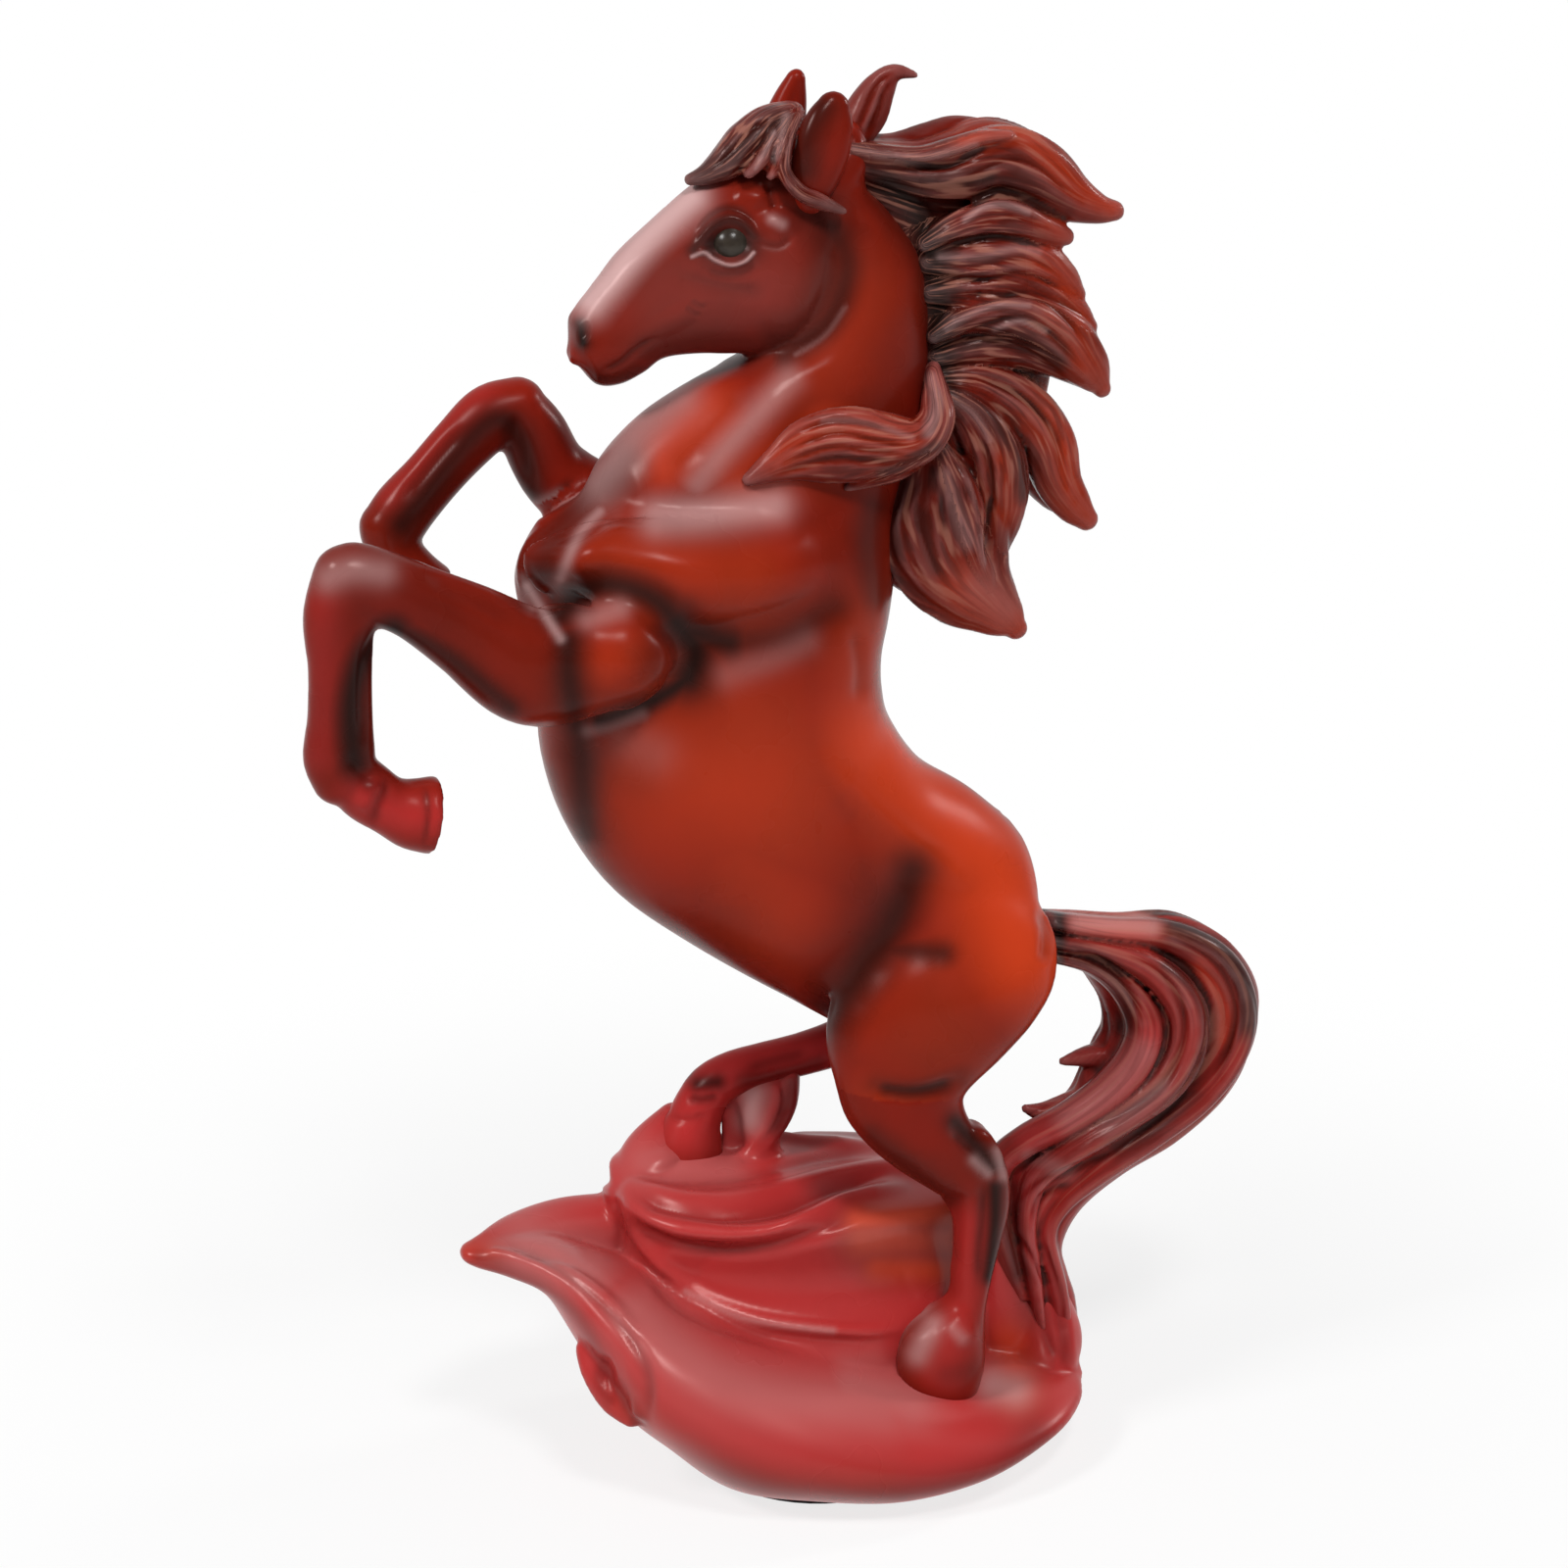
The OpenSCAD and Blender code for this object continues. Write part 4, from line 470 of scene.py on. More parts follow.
BODY_STROKES = [
    ("groove", 26, 1.4, 0.45, [(570, 640), (580, 616), (598, 602), (625, 596), (662, 608), (688, 634), (718, 652),
                               (764, 656), (812, 642), (850, 618), (872, 592)]),
    ("groove", 16, 0.7, 0.4, [(582, 650), (580, 685), (583, 715), (590, 742)]),
    ("groove", 28, 1.6, 0.2, [(652, 498), (614, 515), (580, 538), (560, 570), (558, 606), (568, 630)]),
    ("ridge", 18, 0.8, 0.0, [(650, 526), (620, 540), (596, 566), (582, 594)]),
    ("groove", 18, 0.6, 0.35, [(589, 742), (593, 778), (597, 815), (594, 856)]),
    ("groove", 30, 0.9, 0.1, [(668, 528), (715, 524), (760, 520), (800, 508)]),
    ("groove", 15, 0.7, 0.2, [(762, 385), (735, 425), (705, 460), (672, 490)]),
    ("groove", 18, 0.6, 0.0, [(852, 385), (820, 425), (785, 458), (745, 495)]),
    ("ridge", 24, 0.8, 0.0, [(815, 385), (775, 430), (735, 470), (705, 498)]),
    ("groove", 32, 1.6, 0.3, [(942, 862), (930, 905), (912, 942), (882, 982), (852, 1018), (836, 1044)]),
    ("groove", 20, 0.5, 0.2, [(895, 966), (930, 974), (972, 972)]),
    ("ridge", 13, 0.9, 0.0, [(838, 762), (855, 790), (892, 826), (940, 866), (976, 893), (1000, 930)]),
    ("groove", 20, 0.7, 0.0, [(850, 815), (885, 850), (925, 885), (955, 915)]),
    ("groove", 8, 1.3, 0.85, [(884, 1106), (905, 1113), (940, 1115), (986, 1102)]),
    ("groove", 7, 0.7, 0.3, [(1060, 925), (1068, 950), (1066, 985)]),
    ("groove", 8, 0.6, 0.2, [(872, 640), (878, 680), (876, 720)]),
    ("groove", 22, 1.5, 0.3, [(790, 196), (812, 209), (840, 217), (858, 240), (864, 270), (858, 302), (843, 332),
                              (820, 354), (786, 366)])]
HEAD_STROKES = [
    ("edge", 18, 0.55, 0.0, [(722, 262), (690, 266), (656, 281), (632, 304), (610, 320), (600, 328)]),
    ("groove", 4, 0.4, 0.5, [(612, 380), (632, 371), (650, 356), (672, 343)]),
    ("groove", 3, 0.25, 0.2, [(705, 306), (712, 312), (722, 314)]),
    ("groove", 3, 0.25, 0.2, [(700, 312), (707, 319), (716, 322)]),
    ("groove", 9, 0.5, 0.2, [(690, 285), (720, 290), (752, 296), (785, 300)]),
    ("groove", 5, 0.7, 0.5, [(784, 184), (787, 200), (793, 216)]),
    ("ridge", 11, 0.4, 0.0, [(748, 196), (766, 198), (780, 207)]),
    ("groove", 4, 0.5, 0.6, [(708, 250), (716, 232), (727, 219), (742, 213), (756, 217), (768, 227), (775, 240)]),
    ("ridge", 6.5, 1.0, 0.0, [(708, 258), (718, 242), (729, 230), (743, 223), (757, 226), (768, 237), (772, 248)]),
    ("ridge", 3, 0.9, 0.0, [(706, 261), (719, 257), (729, 264), (745, 270), (760, 266), (769, 256)]),
    ("groove", 5, 0.4, 0.4, [(770, 243), (784, 250), (797, 250), (810, 239)]),
    ("groove", 5, 0.5, 0.3, [(716, 272), (735, 281), (756, 280), (775, 268)])]
# Strokes of the legs: the plane that they mirror in, and the strokes
LEG_STROKES = {
    "left_foreleg": (-26, [
        ("groove", 8, 0.9, 0.5, [(392, 640), (374, 672), (370, 715), (372, 762)]),
        ("groove", 7, 0.9, 0.5, [(352, 772), (366, 782), (380, 800)]),
        ("groove", 5, 0.6, 0.4, [(398, 790), (392, 806), (384, 824), (380, 846)]),
        ("ridge", 8, 0.7, 0.0, [(386, 796), (376, 812), (368, 828)]),
        ("groove", 3, 0.5, 0.5, [(433, 800), (437, 832), (432, 864)]),
        ("groove", 9, 0.7, 0.2, [(432, 585), (470, 605), (505, 622), (530, 640)])]),
    "right_foreleg": (18, [
        ("groove", 8, 0.8, 0.4, [(520, 420), (535, 455), (540, 500)]),
        ("groove", 7, 0.8, 0.4, [(410, 515), (440, 475), (475, 435)])]),
    "left_hind_leg": (-23, [
        ("groove", 7, 1.0, 0.7, [(968, 1148), (985, 1165), (1002, 1182), (1012, 1205)]),
        ("groove", 6, 0.9, 0.6, [(1004, 1200), (1004, 1240), (1000, 1280), (1002, 1320)]),
        ("ridge", 7, 0.8, 0.0, [(992, 1150), (1012, 1168), (1022, 1190)]),
        ("groove", 7, 0.6, 0.1, [(978, 1215), (974, 1255), (972, 1300)]),
        ("ridge", 11, 0.8, 0.0, [(958, 1352), (978, 1362), (1000, 1360)])]),
    "right_hind_leg": (20, [
        ("groove", 7, 0.8, 0.4, [(830, 1072), (795, 1082), (760, 1092)]),
        ("groove", 5, 0.8, 0.6, [(700, 1118), (716, 1122), (736, 1118)]),
        ("groove", 4, 0.5, 0.2, [(680, 1138), (700, 1142), (724, 1138)])])}
# Soft blends between forms: width in pixels and points
BODY_BLENDS = [
    (46, [(950, 850), (930, 905), (908, 950), (880, 992), (850, 1030), (838, 1050)]),
    (38, [(880, 975), (930, 982), (990, 976)]), (34, [(955, 790), (1000, 840), (1040, 900), (1062, 970)]),
    (26, [(872, 660), (868, 610), (850, 560)]), (22, [(560, 500), (536, 545), (532, 600)]),
    (20, [(680, 625), (704, 655), (694, 700), (650, 722), (600, 738)]),
    (16, [(572, 640), (590, 610), (625, 598), (665, 610)]), (24, [(570, 520), (640, 540), (720, 545), (800, 530)]),
    (20, [(752, 656), (810, 644), (856, 616)]), (22, [(535, 600), (556, 640), (572, 700), (566, 745)]),
    (15, [(577, 348), (579, 362), (588, 377)]), (30, [(616, 648), (640, 666), (632, 692)])]
BODY_LUMPS = [
    ((540, 566), (36, 44), 0, 1.4), ((700, 588), (120, 40), 8, 0.8),
    ((800, 590), (60, 50), 0, 0.8), ((940, 1040), (110, 95), 0, 1.0), ((660, 770), (70, 60), 0, 0.8)]
HEAD_LUMPS = [
    ((796, 227), (27, 18), 0, 0.9), ((768, 202), (26, 15), 0, 0.5), ((742, 248), (32, 22), -8, -2.0),
    ((596, 340), (8, 14), 14, -0.9), ((800, 290), (66, 72), 0, 1.0), ((690, 325), (46, 16), -28, 0.5)]
# Body paint: the wash marks are painted shade in the flank crease and along the belly, thigh, throat and cheek; the
# dust marks are painted highlights on the barrel, neck and chest, besides the pale filler band at the neck's base and
# the glue line on the forearm; the bright ember on the croup also stands in for its highlight
BODY_PAINT = [
    (WASH_AND_SHADE, 20, 0.8, [(590, 735), (594, 790), (597, 850)]), (DUST_AND_HIGHLIGHT, 24, 0.14, [(634, 752), (668, 768)]),
    (DUST_AND_HIGHLIGHT, 16, 0.14, [(742, 690), (790, 672), (822, 655)]), (WASH_AND_SHADE, 60, 0.2, [(950, 1040), (930, 1150)]),
    (WASH_AND_SHADE, 30, 0.85, [(932, 890), (910, 945), (878, 990), (842, 1040)]), (WASH_AND_SHADE, 15, 0.75, [(905, 968), (962, 973)]),
    (WASH_AND_SHADE, 50, 0.3, [(925, 900), (880, 985)]), (WASH_AND_SHADE, 18, 0.4, [(895, 1108), (940, 1112), (980, 1100)]),
    (WASH_AND_SHADE, 24, 0.6, [(640, 470), (590, 520), (560, 560), (548, 600)]),
    (WASH_AND_SHADE, 18, 0.75, [(820, 214), (858, 245), (864, 285), (845, 330), (800, 362)]),
    (WASH_AND_SHADE, 18, 0.35, [(660, 380), (720, 368), (790, 366)]),
    (WASH_AND_SHADE, 18, 0.6, [(905, 200), (940, 260), (952, 330), (948, 390)]),
    (WASH_AND_SHADE, 16, 0.5, [(890, 520), (885, 560), (895, 610)]),
    (WASH_AND_SHADE, 15, 0.35, [(560, 790), (600, 880), (660, 935), (760, 990), (830, 1040)]),
    (DUST_AND_HIGHLIGHT, 20, 0.54, [(672, 528), (725, 524), (790, 515)]), (DUST_AND_HIGHLIGHT, 26, 0.36, [(690, 405), (650, 440), (612, 490)]),
    (DUST_AND_HIGHLIGHT, 15, 0.32, [(805, 388), (772, 425), (735, 465), (712, 494)]), (EMBER, 40, 0.4, [(840, 440), (760, 490)]),
    (EMBER, 30, 0.5, [(730, 420), (680, 470)]), (DUST_AND_HIGHLIGHT, 6, 0.4, [(612, 522), (590, 548), (572, 590)]),
    (DUST_AND_HIGHLIGHT, 5, 0.5, [(538, 598), (558, 630), (572, 652)]),
    (EMBER, 70, 0.9, [(900, 760), (960, 820), (1020, 890), (1050, 970)]),
    (EMBER, 75, 0.3, [(1000, 980), (960, 1050)]), (EMBER, 60, 0.4, [(900, 660), (880, 740)]),
    (EMBER, 110, 0.5, [(690, 780), (780, 800)]), (EMBER, 60, 0.35, [(760, 880), (800, 930)]),
    (EMBER, 60, 0.35, [(640, 590), (760, 600)]), (EMBER, 40, 0.3, [(620, 680), (640, 670)]),
    (EMBER, 40, 0.35, [(900, 1130), (960, 1160)]), (EMBER, 55, 0.2, [(820, 420), (880, 300)])]
# Marks of the near side alone: painted shade in the pocket round the elbow, beside the forearm and under the shoulder,
# and painted highlights on and below the elbow
NEAR_PAINT = [
    (WASH_AND_SHADE, 20, 0.85, [(580, 655), (582, 700), (590, 745)]), (WASH_AND_SHADE, 28, 0.97, [(690, 636), (710, 664), (702, 692)]),
    (WASH_AND_SHADE, 15, 0.97, [(706, 690), (668, 714), (612, 736)]), (WASH_AND_SHADE, 30, 0.5, [(672, 668), (676, 690)]),
    (WASH_AND_SHADE, 22, 0.92, [(572, 626), (596, 602), (630, 598), (668, 612), (700, 642), (745, 656)]),
    (WASH_AND_SHADE, 20, 0.6, [(745, 656), (800, 648), (850, 620)]), (DUST_AND_HIGHLIGHT, 7, 0.29, [(600, 746), (625, 742), (655, 730)]),
    (DUST_AND_HIGHLIGHT, 12, 0.29, [(600, 632), (632, 622)])]
# Painted shade on the left part of the near ear
EAR_PAINT = [(WASH_AND_SHADE, 17, 0.75, [(820, 172), (824, 140), (838, 108)])]
# Head paint: a painted highlight on the nose's plane and on the brow, a pale line along the lower lid; painted shade
# over the eye, under the forelock and along the mouth, jaw and cheek; a black nostril and a dark eye
HEAD_PAINT = [
    (DUST_AND_HIGHLIGHT, 19, 0.95, [(704, 200), (660, 240), (622, 284), (602, 306)]), (WASH_AND_SHADE, 9, 1.0, [(592, 330), (595, 350)]),
    (WASH_AND_SHADE, 9, 0.8, [(708, 255), (718, 240), (730, 229), (744, 224), (758, 229), (768, 242)]),
    (WASH_AND_SHADE, 10, 0.5, [(600, 382), (625, 388), (650, 378)]), (WASH_AND_SHADE, 16, 0.4, [(660, 358), (720, 350), (780, 355)]),
    (WASH_AND_SHADE, 19, 0.95, [(729, 250), (745, 247), (759, 250)]), (WASH_AND_SHADE, 12, 0.6, [(760, 178), (800, 190), (830, 205)]),
    (WASH_AND_SHADE, 26, 0.55, [(815, 215), (846, 245), (850, 288), (832, 325), (790, 352)]),
    (DUST_AND_HIGHLIGHT, 60, 0.05, [(680, 300), (780, 300)]),
    (DUST_AND_HIGHLIGHT, 2, 0.65, [(706, 262), (719, 258), (729, 265), (745, 271), (760, 267), (769, 258)]),
    (DUST_AND_HIGHLIGHT, 6, 0.36, [(788, 224), (798, 229)]), (DUST_AND_HIGHLIGHT, 3, 0.14, [(862, 314), (842, 342), (812, 362)])]
# Leg paint: the wash marks are painted shade on the undersides, inner faces and backs of the legs and on the hoofs'
# shaded sides; the dust marks are painted highlights on the knee, hock and hoofs, besides the pale glue line at the top
# of the near foreleg
LEG_PAINT = {
    "left_foreleg": [
        (WASH_AND_SHADE, 44, 0.3, [(440, 620), (380, 600), (340, 660), (330, 770)]),
        (WASH_AND_SHADE, 22, 0.95, [(402, 644), (374, 668), (360, 705), (358, 745), (362, 778)]),
        (WASH_AND_SHADE, 13, 0.75, [(405, 642), (445, 662), (485, 692), (520, 722)]), (WASH_AND_SHADE, 10, 0.6, [(355, 780), (376, 800)]),
        (DUST_AND_HIGHLIGHT, 16, 0.32, [(335, 590), (360, 582), (390, 584)]), (DUST_AND_HIGHLIGHT, 8, 0.5, [(530, 596), (545, 615)]),
        (ROSE, 26, 0.6, [(372, 815), (400, 830), (440, 835)]),
        (ROSE, 22, 0.35, [(330, 620), (328, 700), (325, 770)])],
    "right_foreleg": [
        (WASH_AND_SHADE, 20, 0.85, [(410, 535), (440, 497), (475, 452), (508, 428), (534, 455), (541, 505)]),
        (WASH_AND_SHADE, 9, 0.6, [(548, 520), (565, 508), (580, 498)]), (DUST_AND_HIGHLIGHT, 6, 0.36, [(548, 515), (570, 505)]),
        (ROSE, 20, 0.3, [(400, 505), (450, 440), (490, 400)])],
    "left_hind_leg": [
        (WASH_AND_SHADE, 13, 0.9, [(975, 1145), (995, 1168), (1012, 1190)]),
        (WASH_AND_SHADE, 11, 0.95, [(1016, 1212), (1015, 1255), (1010, 1302)]),
        (WASH_AND_SHADE, 14, 0.5, [(890, 1160), (930, 1195), (968, 1222)]),
        (ROSE, 26, 0.5, [(990, 1250), (985, 1320), (965, 1400)]), (DUST_AND_HIGHLIGHT, 6, 0.4, [(1018, 1175), (1024, 1200)]),
        (DUST_AND_HIGHLIGHT, 6, 0.4, [(994, 1184), (1008, 1197)]), (DUST_AND_HIGHLIGHT, 13, 0.4, [(952, 1352), (936, 1382)]),
        (DUST_AND_HIGHLIGHT, 7, 0.3, [(972, 1356), (982, 1366)]), (WASH_AND_SHADE, 14, 0.35, [(966, 1402), (990, 1398)])],
    "right_hind_leg": [
        (ROSE, 40, 0.9, [(840, 1070), (740, 1090), (700, 1150)]), (WASH_AND_SHADE, 10, 0.85, [(712, 1106), (732, 1104)]),
        (WASH_AND_SHADE, 11, 0.5, [(760, 1104), (800, 1096), (835, 1086)])]}

# Joint planes: a point of the plane and the way out of the trunk
NECK_JOINT = ((-30, 0, 197), (0, 0, 1))
LEFT_FORE_JOINT = ((-69, -26, 174.5), (-0.97, 0, 0.24))
RIGHT_FORE_JOINT = ((-56, 18, 199), (-0.6, 0.1, 0.79))
LEFT_HIND_JOINT = ((5, -21.5, 72.5), (-0.14, 0, -0.99))
RIGHT_HIND_JOINT = ((13, 20, 80), (-0.1, 0, -0.99))
CASTINGS = ["trunk_casting", "neck_head_casting", "left_foreleg", "right_foreleg", "left_hind_leg", "right_hind_leg"]
TRUNK, NECK, LEFT_FORE, RIGHT_FORE, LEFT_HIND, RIGHT_HIND = range(6)
JOINTS = [NECK_JOINT, LEFT_FORE_JOINT, RIGHT_FORE_JOINT, LEFT_HIND_JOINT, RIGHT_HIND_JOINT]
# Belts of the horse: rows, rings along and sides round
HORSE_BELTS = [(BARREL, 90, 64), (HEAD, 60, 48), (LEFT_THIGH, 40, 40), (RIGHT_THIGH, 32, 40)]


def spline(rows, t):
    """Rows at the places t, from 0 at the first row to 1 at the last, on a smooth curve"""
    r = np.asarray(rows, float)
    n = len(r) - 1
    s = np.clip(t, 0, 1) * n
    i = np.minimum(s.astype(int), n - 1)
    u = (s - i)[:, None]
    a, b, c, d = (r[np.clip(i + k, 0, n)] for k in (-1, 0, 1, 2))
    return 0.5 * (2 * b + (c - a) * u + (2 * a - 5 * b + 4 * c - d) * u ** 2 + (3 * b - a - 3 * c + d) * u ** 3)


def unit(v):
    """Vectors of length one"""
    return v / np.maximum(np.linalg.norm(v, axis=-1, keepdims=True), 1e-12)


def belt(rows, rings):
    """Middles and half axes of a belt's sections"""
    r = spline(rows, np.linspace(0, 1, rings)) * MM
    zero = np.zeros(rings)
    middle = np.stack([(r[:, 0] + r[:, 2]) / 2, r[:, 4], (r[:, 1] + r[:, 3]) / 2 + GROUND], 1)
    across = np.stack([zero, r[:, 5], zero], 1)
    along = np.stack([(r[:, 0] - r[:, 2]) / 2, zero, (r[:, 1] - r[:, 3]) / 2], 1)
    return middle, across, along


def limb(rows, rings):
    """Middles and half axes of a limb's sections, square to its path"""
    r = spline(rows, np.linspace(0, 1, rings)) * MM
    middle = r[:, :3] + np.array([0, 0, GROUND])
    way = unit(np.gradient(middle, axis=0))
    side = unit(np.array([0, 1.0, 0]) - way[:, 1:2] * way)
    return middle, side * r[:, 3:4], np.cross(way, side) * r[:, 4:5]


def mirrored(sections):
    """The same sections on the other side of the horse"""
    flip = np.array([1, -1, 1])
    return tuple(part * flip for part in sections)


def domed(sections, last=True):
    """Sections with a rounded first end added, and a rounded last one"""
    middle, across, along = sections
    way = unit(np.gradient(middle, axis=0))
    turns = np.linspace(0, math.pi / 2, DOME_RINGS + 1)[1:] * DOME_SHARE
    ends = []
    for k, sign, angles in ((0, -1, turns), (-1, 1, turns if last else turns[:0])):
        reach = min(np.linalg.norm(across[k]), np.linalg.norm(along[k])) * sign
        ends.append((np.array([middle[k] + way[k] * reach * math.sin(a) for a in angles]).reshape(-1, 3),
                     np.array([across[k] * math.cos(a) for a in angles]).reshape(-1, 3),
                     np.array([along[k] * math.cos(a) for a in angles]).reshape(-1, 3)))
    return tuple(np.concatenate([ends[0][j][::-1], sections[j], ends[1][j]]) for j in range(3))


def fetched(items, name, width, kind=float):
    """One value of all the items of a mesh as an array"""
    values = np.empty(len(items) * width, kind)
    items.foreach_get(name, values)
    return values.reshape(-1, width)


def loft(sections, sides, radius=None):
    """Closed mesh over sections; radius gives the share of the section at the places u round it and t along it"""
    middle, across, along = sections
    rings = len(middle)
    bm = bmesh.new()
    bmesh.ops.create_grid(bm, x_segments=sides, y_segments=rings - 1, size=0.5)
    mesh = bpy.data.meshes.new("loft")
    bm.to_mesh(mesh)
    grid = fetched(mesh.vertices, "co", 3) + 0.5
    u = np.round(grid[:, 0] * sides).astype(int) % sides / sides
    ring = np.round(grid[:, 1] * (rings - 1)).astype(int)
    share = 1.0 if radius is None else radius(u, ring / (rings - 1))[:, None]
    turn = 2 * math.pi * u[:, None]
    place = middle[ring] + share * (np.cos(turn) * across[ring] + np.sin(turn) * along[ring])
    mesh.vertices.foreach_set("co", place.ravel())
    bm.clear()
    bm.from_mesh(mesh)
    bpy.data.meshes.remove(mesh)
    bmesh.ops.remove_doubles(bm, verts=bm.verts, dist=1e-7)
    bmesh.ops.holes_fill(bm, edges=[e for e in bm.edges if e.is_boundary], sides=0)
    bmesh.ops.recalc_face_normals(bm, faces=bm.faces)
    return bm


def limbs(tables, rings=LIMB_RINGS, last=True):
    """Lofts of several limbs"""
    return [loft(domed(limb(rows, rings), last), LIMB_SIDES) for rows in tables]


def joined(parts, name):
    """One object out of several bmeshes"""
    mesh = bpy.data.meshes.new(name)
    whole = bmesh.new()
    for bm in parts:
        bm.to_mesh(mesh)
        whole.from_mesh(mesh)
        bm.free()
    whole.to_mesh(mesh)
    whole.free()
    obj = bpy.data.objects.new(name, mesh)
    bpy.context.scene.collection.objects.link(obj)
    return obj


def fused(obj, grain):
    """Makes one skin out of an object's overlapping forms"""
    remesh = obj.modifiers.new("fuse", "REMESH")
    remesh.mode = "VOXEL"
    remesh.voxel_size = grain
    ready = obj.evaluated_get(bpy.context.evaluated_depsgraph_get())
    mesh = bpy.data.meshes.new_from_object(ready)
    obj.modifiers.clear()
    old = obj.data
    obj.data = mesh
    bpy.data.meshes.remove(old)
    return obj


def capped(bm):
    """Closes the open rims of a cut mesh and keeps their edges sharp"""
    rims = [e for e in bm.edges if e.is_boundary]
    bmesh.ops.holes_fill(bm, edges=rims, sides=0)
    for e in rims:
        e.smooth = False


def spread(values, pairs, times, share=0.5):
    """Values evened out between neighbours"""
    values = np.array(values, float)
    first, second = pairs.T
    count = np.bincount(pairs.ravel(), minlength=len(values))
    flat = values.ndim == 1
    for _ in range(times):
        means = []
        for c in [values] if flat else list(values.T):
            total = np.bincount(first, c[second], len(c)) + np.bincount(second, c[first], len(c))
            means.append(total / np.maximum(count, 1))
        mean = means[0] if flat else np.stack(means, 1)
        weight = share if flat or np.isscalar(share) else share[:, None]
        values = values + weight * (mean - values)
    return values


def photo_axes():
    """Camera place and its right, up and back directions"""
    back = np.array([math.sin(PHOTO_TURN) * math.cos(PHOTO_RISE), -math.cos(PHOTO_TURN) * math.cos(PHOTO_RISE),
                     math.sin(PHOTO_RISE)])
    right = np.array([math.cos(PHOTO_TURN), math.sin(PHOTO_TURN), 0])
    return PHOTO_AIM + PHOTO_DISTANCE * back, right, np.cross(back, right), back


def photo_pixels(points):
    """Where points fall in the photograph"""
    eye, right, up, back = photo_axes()
    v = points - eye
    depth = -(v @ back)
    half = PHOTO_SIZE / 2
    return np.stack([half + PHOTO_FOCAL * (v @ right) / depth, half - PHOTO_FOCAL * (v @ up) / depth], 1)


def photo_point(px, py, y):
    """Point at a photo pixel on the upright plane y, in metres"""
    eye, right, up, back = photo_axes()
    half = PHOTO_SIZE / 2
    ray = (px - half) * right + (half - py) * up - PHOTO_FOCAL * back
    return eye + ray * ((y - eye[1]) / ray[1])


